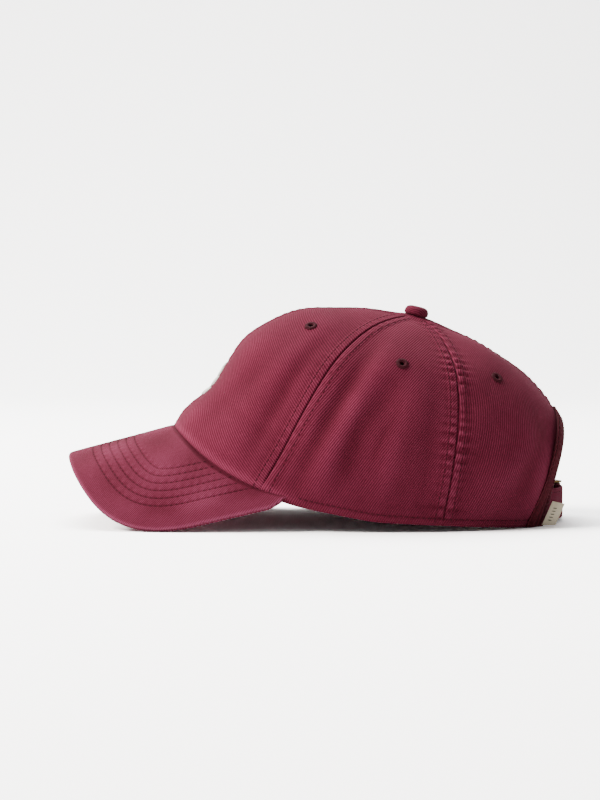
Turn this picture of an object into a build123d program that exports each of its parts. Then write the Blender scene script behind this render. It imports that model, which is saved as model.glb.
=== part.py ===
from build123d import *
from math import copysign, cos, hypot, pi, radians, sin
import os

# A soft six-panel cap with a removable protective insert.
# Millimetres. +Z up, -Y is the way the brim points, +X is the wearer's left.
# The origin is on the surface the cap stands on, under the middle of its box.

# ---- the head opening and the crown ----
HEAD_Y = 25.7              # centre of the head opening
HEM_FRONT = 107.0          # opening, centre to the middle of the forehead
HEM_REAR = 109.0           # opening, centre to the nape
HEM_HALF_WIDTH = 77.0
HEM_ROUNDNESS = 2.35       # exponent of the opening's superellipse
HEM_SIDE_RISE = 6.3        # how much higher the hem is over the ears than at the nape
NAPE_LEVEL = -0.35         # the nape stands on the floor, pressed flat by this
HEM_TUCK = 1.5             # how far the front hem reaches below the top of the brim
CROWN_TILT = 13.5          # degrees that the crown leans back
CROWN_Y = HEAD_Y + 1.5     # foot of the crown's own axis
CROWN_Z = 30.0
LOW_RING = dict(centre=1.5, front=77.4, rear=116.3, half_width=82.7, roundness=2.2,
                height=46.1, lean=7.5, waist=14.9)
HIGH_RING = dict(centre=20.1, front=112.0, rear=70.8, half_width=55.9, roundness=2.0,
                 height=80.7, lean=0.0, waist=0.0)
APEX_OFFSET = 7.7
APEX_HEIGHT = 92.6
FRONT_SEAM = 60.8          # degrees round from the middle of the forehead
REAR_SEAM = 108.7

# ---- cloth ----
PANEL_THICKNESS = 0.9
SEAM_GAP = 0.25
TAPE_WIDTH = 14.0
TAPE_THICKNESS = 0.6
TAPE_TOP_RADIUS = 21.0
SWEATBAND_THICKNESS = 1.3
SWEATBAND_HEIGHT = 33.0
SWEATBAND_END = 168.0      # degrees round, before the opening cuts it
LAYER_GAP = 0.12
APEX_HOLE = 3.2            # where the panels stop round the button's rivet
REAR_TAPE_START = 0.46     # the share of the rear seam that is above the opening

# ---- brim ----
TIP_Y = HEAD_Y - 167.7
TIP_Z = 37.0
BRIM_SLOPE = 0.266
BRIM_DROP = 50.1
BRIM_DROP_GROWTH = 5.0 / 75.0
BRIM_CURL = 2.4
BRIM_HALF_WIDTH = 75.0
BRIM_ROUNDNESS = 2.5
BRIM_SHOULDER_Y = HEAD_Y - 93.9
BRIM_CORNER_Y = HEAD_Y - 39.0
BRIM_CORNER_ANGLE = 69.2   # degrees round the hem where the brim's corner meets it
BRIM_BEND = 0.72           # the share of the free edge that is curved
BRIM_ROWS = 9
BRIM_COLUMNS = 41
BOARD_THICKNESS = 2.0
COVER_THICKNESS = 0.8
COVER_LAP = 1.4            # the covers reach past the board by this
COVER_CLEARANCE = 0.02     # between each cover and the board
ROOT_GAP = 0.8             # between the crown and the root of the brim

# ---- rear opening, strap and clasp ----
ARCH_HALF_WIDTH = 41.0
ARCH_HEIGHT = 57.0
ARCH_BACK = 150.0          # the cutting prism runs from ARCH_FRONT to here
ARCH_FRONT = 40.0
BINDING_WIDTH = 7.5
BINDING_THICKNESS = 0.7
BINDING_START = 122.0      # degrees round, well outside the opening
BINDING_TOP = 0.62         # the share of the crown's height it is cut from
BINDING_FOLD = 0.5         # how far the web stands out under the skin
STRAP_RADIUS = 50.0
STRAP_Y = HEAD_Y + 64.1
STRAP_LOW = 2.0
STRAP_WIDTH = 18.0
STRAP_THICKNESS = 1.6
STRAP_LEFT_END = 64.0      # degrees round the strap's arc, + on the wearer's left
CLASP_ANGLE = -22.0
CLASP_LENGTH = 16.0
CLASP_PLATE = 1.0
CLASP_PIN_RADIUS = 0.8
CLASP_PIN_CLEARANCE = 0.05
CLASP_KNUCKLE_RADIUS = 1.15
CLASP_PIN_INSET = 1.6      # from the frame's end to the pin
CLASP_SIDE = 1.1           # thickness of the frame's two walls
CLASP_ROOM = 0.45          # above and below the strap
CLASP_BEND = 0.9           # behind the strap, which is curved where the frame is flat
CLASP_FRONT_GAP = 0.4
CLASP_WINDOW_INSET = (7.0, 5.0)
STRAP_RIGHT_END = CLASP_ANGLE - 5.0
TAB_END = -64.0
TAB_CLASP_END = CLASP_ANGLE - 10.2
TAIL_RADIUS = 45.2         # the free tail lies inside the strap
TAIL_THICKNESS = 1.2
TAIL_END = -50.0
TAIL_CLASP_END = CLASP_ANGLE + 5.0
ARC_STEPS = 6

# ---- eyelets, button, labels and embroidery ----
EYELETS = dict(front=(37.0, 0.625), side=(85.3, 0.604), rear=(132.6, 0.626))
EYELET_RADIUS = 3.5
EYELET_BARREL = 1.9
EYELET_HOLE = 1.2
EYELET_FLANGE = 0.6
EYELET_LIFT = 0.15
EYELET_DEPTH = 1.35
BUTTON_RADIUS = 6.9
BUTTON_HEIGHT = 4.4
BUTTON_WALL = 0.8
BUTTON_EDGE = 3.2          # radius of the button's shoulder
BUTTON_LIFT = 0.1
RIVET_RADIUS = 1.2
RIVET_LENGTH = 6.4
RIVET_DISC_RADIUS = 6.0
RIVET_DISC_DEPTH = 4.0
MOTIF_HALF_ANGLE = 13.0
MOTIF_LOW = 0.08
MOTIF_HIGH = 0.22
MOTIF_LAYER = (-1.2, -0.45)
CARE_LABEL = dict(start=121.0, end=137.0, low=0.03, high=0.22)
CARE_LABEL_THICKNESS = 0.4
FLAG_OUTLINE = ((96.2, 1.2), (106.8, 1.2), (111.2, 14.6), (100.2, 14.6))
FLAG_X = 45.3
FLAG_THICKNESS = 0.9
LOOP_PATCH = dict(start=78.0, end=92.0, low=0.33, high=0.43)
LOOP_THICKNESS = 1.2

# ---- protective insert ----
DOME_CENTRE = 6.0
DOME_RIM = 18.0
DOME_HALF_WIDTH = 65.0
DOME_HALF_LENGTH = 96.0
DOME_HEIGHT = 66.0
SHELL_THICKNESS = 2.2
PAD_THICKNESS = 5.0
PAD_GAP = 0.15
PAD_TOP = 38.0             # the four side pads reach this far above the rim
PAD_FOOT = 1.0
END_PAD_WIDTH = 64.0
SIDE_PAD_WIDTH = 78.0
FRONT_PAD_BACK = -30.0     # the side of each pad that faces the middle of the dome
REAR_PAD_FRONT = 42.0
SIDE_PAD_INSIDE = 34.0
CROWN_PAD_RADIUS = 34.0
CROWN_PAD_FOOT = 42.0
VENT_LENGTH = 26.0
VENT_WIDTH = 6.0
VENT_COLUMNS = (-24.0, 0.0, 24.0)
VENT_ROWS = (-34.0, 6.0, 46.0)
TAB_LAYER = (0.15, 1.3)    # the hook tabs' inner and outer faces, outside the shell
TAB_BLOCK = (60.0, 22.0, 24.0)
TAB_FOOT = 6.0
FAR = 400.0                # larger than the cap, for cutting

SIDES = dict(left=1, right=-1)
PARTS = "parts"


# ---- the crown's surface ----
def superellipse(angle, exponent):
    """The sine and cosine of an angle, squared off as the exponent grows past 2."""
    s = sin(angle)
    c = cos(angle)
    return copysign(abs(s) ** (2 / exponent), s), copysign(abs(c) ** (2 / exponent), c)


def crown_to_world(x, forward, up):
    """A point in the crown's leaning frame, as a point of the cap."""
    tilt = radians(CROWN_TILT)
    y = CROWN_Y + forward * cos(tilt) + up * sin(tilt)
    return Vector(x, y, CROWN_Z - forward * sin(tilt) + up * cos(tilt))


def brim_top(x, y):
    """Height of the brim's top surface: a slope from the tip, curled down at the sides."""
    drop = BRIM_DROP + BRIM_DROP_GROWTH * (y - TIP_Y - 55.7)
    return TIP_Z + (y - TIP_Y) * BRIM_SLOPE - drop * (abs(x) / 75.0) ** BRIM_CURL


def smooth_step(low, high, value):
    """0 below low, 1 above high, and level at both ends."""
    t = min(max((value - low) / (high - low), 0.0), 1.0)
    return t * t * (3 - 2 * t)


def hem(angle):
    """The crown's lower edge; angle 0 is the forehead, 90 degrees the wearer's left."""
    s, c = superellipse(angle, HEM_ROUNDNESS)
    x = HEM_HALF_WIDTH * s
    y = HEAD_Y - (HEM_FRONT if c > 0 else HEM_REAR) * c
    over_brim = brim_top(x, y) - HEM_TUCK
    side = NAPE_LEVEL + HEM_SIDE_RISE * min(max((HEAD_Y + 98.0 - y) / 104.0, 0.0), 1.2)
    share = smooth_step(HEAD_Y - 61.0, HEAD_Y + 9.0, y)
    return Vector(x, y, (1 - share) * over_brim + share * side)


def ring(angle, shape):
    """A control ring of the crown, in its leaning frame."""
    s, c = superellipse(angle, shape["roundness"])
    reach = shape["front"] if c > 0 else shape["rear"]
    up = shape["height"] + shape["lean"] * cos(angle) + shape["waist"] * cos(2 * angle)
    return crown_to_world(shape["half_width"] * s, shape["centre"] - reach * c, up)


def crown(angle, share):
    """The crown's outside: a cubic curve from the hem through two rings to the apex."""
    rest = 1 - share
    apex = crown_to_world(0, APEX_OFFSET, APEX_HEIGHT)
    point = hem(angle) * rest ** 3
    point += ring(angle, LOW_RING) * (3 * rest * rest * share)
    point += ring(angle, HIGH_RING) * (3 * rest * share * share)
    return point + apex * share ** 3


def outward(angle, share):
    """Unit normal of the crown, level at the hem so that layers end at one height."""
    step = 1e-3
    low = max(share - step, 0.0)
    across = crown(angle + step, share) - crown(angle - step, share)
    upward = crown(angle, low + 2 * step) - crown(angle, low)
    normal = across.cross(upward).normalized()
    level = Vector(normal.X, normal.Y, 0).normalized()
    blend = smooth_step(0.0, 0.12, share)
    return (normal * blend + level * (1 - blend)).normalized()


def layer(angle, share, depth):
    """A point that lies depth inside the crown's outside."""
    return crown(angle, share) - outward(angle, share) * depth


def apex_distance(angle, share):
    """Distance in plan from the apex."""
    point = crown(angle, share)
    apex = crown(angle, 1.0)
    return hypot(point.X - apex.X, point.Y - apex.Y)


def share_where(test):
    """The smallest share at which test turns false, found by halving."""
    low, high = 0.0, 1.0
    for _ in range(24):
        middle = (low + high) / 2
        if test(middle):
            low = middle
        else:
            high = middle
    return (low + high) / 2


def share_at_radius(angle, radius):
    """Where a line up the crown is radius away from the apex."""
    return share_where(lambda share: apex_distance(angle, share) > radius)


def share_at_height(angle, height):
    """Where a line up the crown is height away from the hem."""
    foot = crown(angle, 0.0)
    return share_where(lambda share: (crown(angle, share) - foot).length < height)


# ---- solids from two grids of points ----
def slab(near, far):
    """A closed solid between two grids of points with the same rows and columns."""
    faces = [Face.make_surface_from_array_of_points(grid, tol=0.01) for grid in (near, far)]
    sides = [
        Face.make_surface_from_curves(one, other)
        for one, other in zip(faces[0].edges(), faces[1].edges())
    ]
    solid = Solid(Shell(faces + sides))
    return solid if solid.volume > 0 else Solid(solid.wrapped.Reversed())


def crown_slab(left, right, bottom, top, outer, inner, columns=9, rows=13):
    """A patch of the crown between two edges and two heights, from outer to inner depth.

    left and right give the angle of each edge from the angle and the share; bottom and top
    give the share from the angle.
    """
    def grid(depth):
        lines = []
        for i in range(rows):
            line = []
            for j in range(columns):
                across = j / (columns - 1)
                middle = left(0.0) * (1 - across) + right(0.0) * across
                share = bottom(middle) + (top(middle) - bottom(middle)) * i / (rows - 1)
                angle = left(share) * (1 - across) + right(share) * across
                line.append(layer(angle, share, depth))
            lines.append(line)
        return lines

    return slab(grid(outer), grid(inner))


def edge_beside(seam, offset):
    """An edge that keeps its distance from a seam, all the way up."""
    return lambda share: seam + offset / max(apex_distance(seam, share), APEX_HOLE * 0.8)


def panel(start, end):
    """The cloth between two seams, from the hem to the button's hole."""
    return crown_slab(
        edge_beside(radians(start), SEAM_GAP / 2),
        edge_beside(radians(end), -SEAM_GAP / 2),
        lambda angle: 0.0,
        lambda angle: share_at_radius(angle, APEX_HOLE),
        0.0,
        PANEL_THICKNESS,
    )


def seam_tape(seam, start=0.0):
    """The tape that covers a seam's raw edges inside the crown."""
    outer = PANEL_THICKNESS + LAYER_GAP
    middle = radians(seam)
    return crown_slab(
        edge_beside(middle, -TAPE_WIDTH / 2),
        edge_beside(middle, TAPE_WIDTH / 2),
        lambda angle: start,
        lambda angle: share_at_radius(middle, TAPE_TOP_RADIUS),
        outer,
        outer + TAPE_THICKNESS,
        columns=5,
    )


def sweatband():
    """A folded band inside the hem, which stops at the rear opening."""
    outer = PANEL_THICKNESS + TAPE_THICKNESS + 2 * LAYER_GAP
    end = radians(SWEATBAND_END)
    band = crown_slab(
        lambda share: -end,
        lambda share: end,
        lambda angle: 0.0,
        lambda angle: share_at_height(angle, SWEATBAND_HEIGHT),
        outer,
        outer + SWEATBAND_THICKNESS,
        columns=61,
        rows=5,
    )
    return band - arch_prism(ARCH_HALF_WIDTH + 1.0, ARCH_HEIGHT + 1.0)


# ---- the rear opening ----
def arch_prism(half_width, height):
    """A prism along Y whose section is half an ellipse standing on the floor."""
    plane = Plane(origin=(0, HEAD_Y + ARCH_FRONT, 0), x_dir=(1, 0, 0), z_dir=(0, 1, 0))
    return extrude(plane * Ellipse(half_width, height), ARCH_BACK - ARCH_FRONT)


def arch_binding():
    """A turned edge: a band outside the panels and a web that closes their edge."""
    end = radians(BINDING_START)
    rear = dict(bottom=lambda angle: 0.0, top=lambda angle: BINDING_TOP, columns=25, rows=13)
    left, right = (lambda share: end), (lambda share: 2 * pi - end)
    skin = crown_slab(left, right, outer=-BINDING_THICKNESS - LAYER_GAP, inner=-LAYER_GAP, **rear)
    edge = crown_slab(left, right, outer=-BINDING_FOLD, inner=PANEL_THICKNESS + TAPE_THICKNESS, **rear)
    opening = arch_prism(ARCH_HALF_WIDTH, ARCH_HEIGHT)
    reach = arch_prism(ARCH_HALF_WIDTH + BINDING_WIDTH, ARCH_HEIGHT + BINDING_WIDTH)
    web = arch_prism(ARCH_HALF_WIDTH + BINDING_THICKNESS, ARCH_HEIGHT + BINDING_THICKNESS)
    return ((skin & reach) - opening) + ((edge & web) - opening)


def arc_strip(start, end, radius, thickness, low, width):
    """A band that stands on its edge along part of the strap's arc."""
    centre = Vector(0, STRAP_Y, low)
    outer = Cylinder(radius + thickness / 2, width, align=(Align.CENTER, Align.CENTER, Align.MIN))
    inner = Cylinder(radius - thickness / 2, width, align=(Align.CENTER, Align.CENTER, Align.MIN))
    angles = [start + (end - start) * i / ARC_STEPS for i in range(ARC_STEPS + 1)]
    reach = radius * 1.4
    rim = [(reach * sin(radians(a)), reach * cos(radians(a))) for a in angles]
    wedge = extrude(make_face(Polyline((0, 0), *rim, (0, 0))), width)
    return Pos(centre) * ((outer - inner) & wedge)


def clasp_place(radius, angle=CLASP_ANGLE):
    """A frame on the strap's arc: X along the strap, Y out of the cap, Z up."""
    a = radians(angle)
    origin = Vector(radius * sin(a), STRAP_Y + radius * cos(a), STRAP_LOW + STRAP_WIDTH / 2)
    return Location(origin, (0, 0, -angle))


def clasp():
    """The clasp's frame, flap and pin, round the strap."""
    height = STRAP_WIDTH + 2 * CLASP_ROOM
    overall = height + 2 * CLASP_SIDE
    back_y = -STRAP_THICKNESS / 2 - CLASP_BEND - CLASP_PLATE / 2
    flap_y = STRAP_THICKNESS / 2 + CLASP_FRONT_GAP + CLASP_PLATE / 2
    hinge = Pos(-CLASP_LENGTH / 2 + CLASP_PIN_INSET, flap_y, 0)
    pin = hinge * Cylinder(CLASP_PIN_RADIUS, overall)
    bore = hinge * Cylinder(CLASP_PIN_RADIUS + CLASP_PIN_CLEARANCE, 2 * overall)

    back = Pos(0, back_y, 0) * Box(CLASP_LENGTH, CLASP_PLATE, overall)
    cut_length, cut_height = CLASP_WINDOW_INSET
    window = Pos(0, back_y, 0) * Box(CLASP_LENGTH - cut_length, 2 * CLASP_PLATE, height - cut_height)
    wall_low = back_y - CLASP_PLATE / 2
    wall_high = flap_y + CLASP_SIDE
    frame = back - window
    for end in (-1, 1):
        wall = Box(CLASP_LENGTH, wall_high - wall_low, CLASP_SIDE)
        frame += Pos(0, (wall_low + wall_high) / 2, end * (height + CLASP_SIDE) / 2) * wall
    frame -= bore

    flap_height = height - 2 * 0.2
    plate = Pos(0.3, flap_y, 0) * Box(CLASP_LENGTH - 1.2, CLASP_PLATE, flap_height)
    knuckle = hinge * Cylinder(CLASP_KNUCKLE_RADIUS, flap_height)
    lip = Pos(CLASP_LENGTH / 2 + 0.4, flap_y + 0.3, 0) * Box(1.8, 0.9, 10)
    flap = (plate + knuckle + lip) - bore
    place = clasp_place(STRAP_RADIUS)
    return place * frame, place * flap, place * pin


def strap_parts():
    """The long strap, the short tab that carries the clasp, and the strap's free tail."""
    size = (STRAP_RADIUS, STRAP_THICKNESS, STRAP_LOW, STRAP_WIDTH)
    strap = arc_strip(STRAP_RIGHT_END, STRAP_LEFT_END, *size)
    tab = arc_strip(TAB_END, TAB_CLASP_END, *size)
    tail = arc_strip(TAIL_END, TAIL_CLASP_END, TAIL_RADIUS, TAIL_THICKNESS, STRAP_LOW, STRAP_WIDTH)
    return strap, tab, tail


# ---- the brim ----
def brim_outline(angle):
    """The brim's free edge: a superellipse in front, then nearly straight to the corner."""
    s, c = superellipse(angle, BRIM_ROUNDNESS)
    return BRIM_HALF_WIDTH * s, BRIM_SHOULDER_Y - (BRIM_SHOULDER_Y - TIP_Y) * c


def brim_rim(share, inset):
    """A point of the free edge, share -1 at the right corner and 1 at the left one."""
    side = copysign(1.0, share)
    if abs(share) <= BRIM_BEND:
        x, y = brim_outline(abs(share) / BRIM_BEND * pi / 2)
        keep = 1 - inset / hypot(x, y - BRIM_SHOULDER_Y)
        return side * x * keep, BRIM_SHOULDER_Y + (y - BRIM_SHOULDER_Y) * keep
    run = (abs(share) - BRIM_BEND) / (1 - BRIM_BEND)
    y = BRIM_SHOULDER_Y + run * (BRIM_CORNER_Y - BRIM_SHOULDER_Y)
    return side * (BRIM_HALF_WIDTH - inset), y


def brim_root(share, gap):
    """A point beside the hem, under the same share of the free edge."""
    angle = abs(share) * radians(BRIM_CORNER_ANGLE)
    foot = hem(angle)
    ahead = hem(angle + 1e-3)
    along = Vector(ahead.X - foot.X, ahead.Y - foot.Y, 0).normalized()
    out = Vector(along.Y, -along.X, 0)
    point = foot + out * gap
    return copysign(1.0, share) * point.X, point.Y


def brim_layer(top, bottom, inset):
    """A slab of the brim between two depths under its top, its free edge drawn in by inset."""
    def grid(depth):
        rows = []
        for i in range(BRIM_ROWS):
            out = i / (BRIM_ROWS - 1)
            row = []
            for j in range(BRIM_COLUMNS):
                share = 2 * j / (BRIM_COLUMNS - 1) - 1
                x0, y0 = brim_root(share, ROOT_GAP)
                x1, y1 = brim_rim(share, inset)
                x = x0 + (x1 - x0) * out
                y = y0 + (y1 - y0) * out
                row.append(Vector(x, y, brim_top(x, y) - depth))
            rows.append(row)
        return rows

    return slab(grid(top), grid(bottom))


def brim():
    """The upper cover, the board and the lower cover."""
    gap = COVER_CLEARANCE
    lower = COVER_THICKNESS + BOARD_THICKNESS
    upper_cover = brim_layer(0.0, COVER_THICKNESS - gap, 0.0)
    board = brim_layer(COVER_THICKNESS + gap, lower - gap, COVER_LAP)
    lower_cover = brim_layer(lower + gap, lower + COVER_THICKNESS, 0.0)
    return upper_cover, board, lower_cover


# ---- small trim ----
def surface_place(angle, share, depth=0.0):
    """A frame on the crown whose Z points out of it."""
    normal = outward(angle, share)
    origin = layer(angle, share, depth)
    across = Vector(0, 0, 1).cross(normal).normalized()
    return Plane(origin=origin, x_dir=across, z_dir=normal)


def eyelet(place):
    """A sewn ring: a flat flange outside the cloth and a barrel through it."""
    foot = (Align.CENTER, Align.CENTER, Align.MIN)
    flange = place.offset(EYELET_LIFT) * Cylinder(EYELET_RADIUS, EYELET_FLANGE, align=foot)
    barrel = Cylinder(EYELET_BARREL, EYELET_DEPTH + EYELET_FLANGE / 4, align=foot)
    ring = flange + place.offset(EYELET_LIFT - EYELET_DEPTH) * barrel
    return ring - place * Cylinder(EYELET_HOLE, 10)


def rounded_disc(radius, height, edge):
    """A cylinder standing on its foot, with its upper edge rounded."""
    disc = Cylinder(radius, height, align=(Align.CENTER, Align.CENTER, Align.MIN))
    return fillet(disc.edges().filter_by(GeomType.CIRCLE).sort_by(Axis.Z)[-1], edge)


def button():
    """Cloth cover, its shell and the disc with a rivet that clamps it from inside."""
    axis = (crown_to_world(0, 0, 1) - crown_to_world(0, 0, 0)).normalized()
    seat = Plane(origin=crown(0.0, 1.0), x_dir=(1, 0, 0), z_dir=axis).offset(BUTTON_LIFT)
    up = (Align.CENTER, Align.CENTER, Align.MIN)
    wall = BUTTON_WALL
    hollow = rounded_disc(BUTTON_RADIUS - wall, BUTTON_HEIGHT - wall, BUTTON_EDGE - 0.6)
    cover = rounded_disc(BUTTON_RADIUS, BUTTON_HEIGHT, BUTTON_EDGE) - hollow
    core = rounded_disc(BUTTON_RADIUS - wall - 0.1, BUTTON_HEIGHT - wall - 0.1, BUTTON_EDGE - 0.65)
    core -= Cylinder(RIVET_RADIUS + 0.1, RIVET_LENGTH - RIVET_DISC_DEPTH + 0.2, align=up)
    disc = Pos(0, 0, -RIVET_DISC_DEPTH) * Cylinder(RIVET_DISC_RADIUS, 0.8, align=up)
    rivet = Pos(0, 0, -RIVET_DISC_DEPTH) * Cylinder(RIVET_RADIUS, RIVET_LENGTH, align=up)
    return seat * cover, seat * core, seat * (disc + rivet)


def patch(start, end, low, high, outer, inner):
    """A piece of cloth that lies on the crown between two angles and two shares."""
    return crown_slab(
        lambda share: radians(start),
        lambda share: radians(end),
        lambda angle: low,
        lambda angle: high,
        outer,
        inner,
        rows=7,
    )


def flag_label():
    """A folded woven label that stands out of the binding at the foot of the opening."""
    points = [(HEAD_Y + y, z) for y, z in FLAG_OUTLINE]
    plane = Plane(origin=(FLAG_X, 0, 0), x_dir=(0, 1, 0), z_dir=(1, 0, 0))
    return extrude(plane * make_face(Polyline(*points, points[0])), FLAG_THICKNESS)


def care_label():
    """A small label sewn to the inside of the sweatband."""
    inside = PANEL_THICKNESS + TAPE_THICKNESS + SWEATBAND_THICKNESS + 3 * LAYER_GAP
    return patch(outer=inside, inner=inside + CARE_LABEL_THICKNESS, **CARE_LABEL)


def loop_patch(sign):
    """The loop half of a hook-and-loop fastening, inside the crown over one ear."""
    low, high = sorted((sign * LOOP_PATCH["start"], sign * LOOP_PATCH["end"]))
    outer = PANEL_THICKNESS + LAYER_GAP
    return patch(low, high, LOOP_PATCH["low"], LOOP_PATCH["high"], outer, outer + LOOP_THICKNESS)


# ---- protective insert ----
def dome(shrink):
    """Half an ellipsoid in the crown's leaning frame, smaller by shrink all over."""
    sizes = (DOME_HALF_WIDTH - shrink, DOME_HALF_LENGTH - shrink, DOME_HEIGHT - shrink)
    return Pos(0, DOME_CENTRE, DOME_RIM) * scale(Sphere(1.0), sizes)


def above(height):
    """Everything higher than a height."""
    return Pos(0, 0, height) * Box(FAR, FAR, FAR, align=(Align.CENTER, Align.CENTER, Align.MIN))


def insert_shell():
    """The hard shell: half an ellipsoid, open below, with rows of ventilation slots."""
    shell = (dome(0.0) - dome(SHELL_THICKNESS)) & above(DOME_RIM)
    slot = Rot(0, 0, 90) * extrude(SlotOverall(VENT_LENGTH, VENT_WIDTH), 60, both=True)
    for across in VENT_COLUMNS:
        for along in VENT_ROWS:
            shell -= Pos(across, along, DOME_RIM + 60) * slot
    return shell


def insert_pads():
    """Five foam pads inside the shell: four round its rim and one under its crown."""
    outer = SHELL_THICKNESS + PAD_GAP
    foam = (dome(outer) - dome(outer + PAD_THICKNESS)) & above(DOME_RIM + PAD_FOOT)
    low = foam - above(DOME_RIM + PAD_TOP)
    block = Box(FAR, FAR, FAR)
    ends = low & Box(END_PAD_WIDTH, FAR, FAR)
    sides = low & (Pos(0, DOME_CENTRE, 0) * Box(FAR, SIDE_PAD_WIDTH, FAR))
    top = Pos(0, DOME_CENTRE, 0) * Cylinder(CROWN_PAD_RADIUS, FAR)
    return dict(
        front=ends & (Pos(0, FRONT_PAD_BACK - FAR / 2, 0) * block),
        rear=ends & (Pos(0, REAR_PAD_FRONT + FAR / 2, 0) * block),
        left=sides & (Pos(SIDE_PAD_INSIDE + FAR / 2, 0, 0) * block),
        right=sides & (Pos(-SIDE_PAD_INSIDE - FAR / 2, 0, 0) * block),
        crown=foam & above(DOME_RIM + CROWN_PAD_FOOT) & top,
    )


def insert_tab(sign):
    """The hook half of the fastening, on the outside of the shell over one ear."""
    inner, outer = TAB_LAYER
    skin = (dome(-outer) - dome(-inner)) & above(DOME_RIM + TAB_FOOT)
    length, width, height = TAB_BLOCK
    return skin & (Pos(sign * length, DOME_CENTRE, DOME_RIM + height / 2) * Box(length, width, height))


def leaning(shape):
    """Put a shape made in the crown's own frame in its place."""
    return Pos(0, CROWN_Y, CROWN_Z) * Rot(-CROWN_TILT, 0, 0) * shape


# ---- writing ----
def on_floor(shape):
    """Flatten whatever reaches below the floor, as the cloth does where it stands."""
    return shape & above(0)


def write(name, shape):
    """Write one sub-part to its own file."""
    shape.label = name
    export_step(shape, os.path.join(PARTS, name + ".step"))


def build_crown():
    """Panels, seam tapes, eyelets and the button."""
    places = {}
    for where, (angle, share) in EYELETS.items():
        for side, sign in SIDES.items():
            places[where + "_" + side] = surface_place(sign * radians(angle), share)

    seams = dict(front=(0.0, FRONT_SEAM), side=(FRONT_SEAM, REAR_SEAM), rear=(REAR_SEAM, 180.0))
    room = BINDING_THICKNESS + 0.1
    opening = arch_prism(ARCH_HALF_WIDTH + room, ARCH_HEIGHT + room)
    for where, (start, end) in seams.items():
        for side, sign in SIDES.items():
            low, high = sorted((sign * start, sign * end))
            hole = places[where + "_" + side] * Cylinder(EYELET_BARREL + 0.1, 10)
            cloth = panel(low, high) - hole
            if where == "rear":
                cloth = on_floor(cloth - opening)
            write("panel_" + where + "_" + side, cloth)

    write("seam_tape_front", seam_tape(0.0))
    write("seam_tape_rear", seam_tape(180.0, REAR_TAPE_START))
    for side, sign in SIDES.items():
        write("seam_tape_front_" + side, seam_tape(sign * FRONT_SEAM))
        write("seam_tape_rear_" + side, seam_tape(sign * REAR_SEAM))
    for name, place in places.items():
        write("eyelet_" + name, eyelet(place))
    for name, shape in zip(("button_cover", "button_shell", "button_rivet"), button()):
        write(name, shape)
    low, high = MOTIF_LAYER
    write("front_motif", patch(-MOTIF_HALF_ANGLE, MOTIF_HALF_ANGLE, MOTIF_LOW, MOTIF_HIGH, low, high))


def build_brim_and_lining():
    """The brim's three layers and what is sewn inside the crown."""
    upper_cover, board, lower_cover = brim()
    write("brim_upper_cover", upper_cover)
    write("brim_board", board)
    write("brim_lower_cover", on_floor(lower_cover))
    write("sweatband", on_floor(sweatband()))
    write("care_label", care_label())
    for side, sign in SIDES.items():
        write("loop_patch_" + side, loop_patch(sign))


def build_rear_opening():
    """The bound opening, the strap with its clasp, and the flag label."""
    write("arch_binding", on_floor(arch_binding()))
    for name, shape in zip(("strap", "strap_tab", "strap_tail"), strap_parts()):
        write(name, shape)
    for name, shape in zip(("clasp_frame", "clasp_flap", "clasp_pin"), clasp()):
        write(name, shape)
    write("flag_label", flag_label())


def build_insert():
    """The removable shell with its pads and hook tabs."""
    write("insert_shell", leaning(insert_shell()))
    for name, shape in insert_pads().items():
        write("insert_pad_" + name, leaning(shape))
    for side, sign in SIDES.items():
        write("insert_tab_" + side, leaning(insert_tab(sign)))


os.makedirs(PARTS, exist_ok=True)
build_crown()
build_brim_and_lining()
build_rear_opening()
build_insert()
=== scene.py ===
"""A soft six-panel cotton cap with a removable protective insert, dressed for looks.

Lengths in the forms below are millimetres in the cap's own frame (-Y is the way the brim
points, +X the wearer's left, +Z up); a mesh is written in metres.
"""
import logging
import math
from dataclasses import dataclass, field
from enum import Enum

import bpy
import numpy as np
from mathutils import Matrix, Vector


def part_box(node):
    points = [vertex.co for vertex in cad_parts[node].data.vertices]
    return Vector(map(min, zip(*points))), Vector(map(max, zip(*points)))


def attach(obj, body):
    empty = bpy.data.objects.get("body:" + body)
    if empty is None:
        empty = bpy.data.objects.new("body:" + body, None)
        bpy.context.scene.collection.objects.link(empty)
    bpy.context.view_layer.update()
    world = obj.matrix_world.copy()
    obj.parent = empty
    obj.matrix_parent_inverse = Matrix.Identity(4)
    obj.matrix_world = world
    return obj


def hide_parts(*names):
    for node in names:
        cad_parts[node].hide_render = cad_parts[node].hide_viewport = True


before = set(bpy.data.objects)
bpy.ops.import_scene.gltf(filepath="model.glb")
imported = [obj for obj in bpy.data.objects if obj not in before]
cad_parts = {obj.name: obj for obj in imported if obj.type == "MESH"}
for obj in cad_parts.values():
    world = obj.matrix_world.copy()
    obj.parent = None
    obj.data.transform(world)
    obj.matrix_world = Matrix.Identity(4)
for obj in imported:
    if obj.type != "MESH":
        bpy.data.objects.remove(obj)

LOG = logging.getLogger("cap")
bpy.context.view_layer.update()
MM = 0.001
Array = np.ndarray


class Side(Enum):
    """The wearer's left or right."""

    LEFT = 1
    RIGHT = -1

    @property
    def word(self) -> str:
        """The side as it stands in a node's name."""
        return self.name.lower()


# ---- plain helpers
def smooth(low: float, high: float, value: Array) -> Array:
    """A step that starts and ends level: 3t^2 - 2t^3, with t running from low to high."""
    t = np.clip((value - low) / (high - low), 0.0, 1.0)
    return t * t * (3.0 - 2.0 * t)


def bump(value: Array, centre: float, width: float) -> Array:
    """A bell of height 1: exp(-((value - centre) / width)^2)."""
    return np.exp(-(((value - centre) / width) ** 2))


def unit(vectors: Array) -> Array:
    """Each vector divided by its length."""
    return vectors / np.maximum(np.linalg.norm(vectors, axis=-1, keepdims=True), 1e-12)


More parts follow.
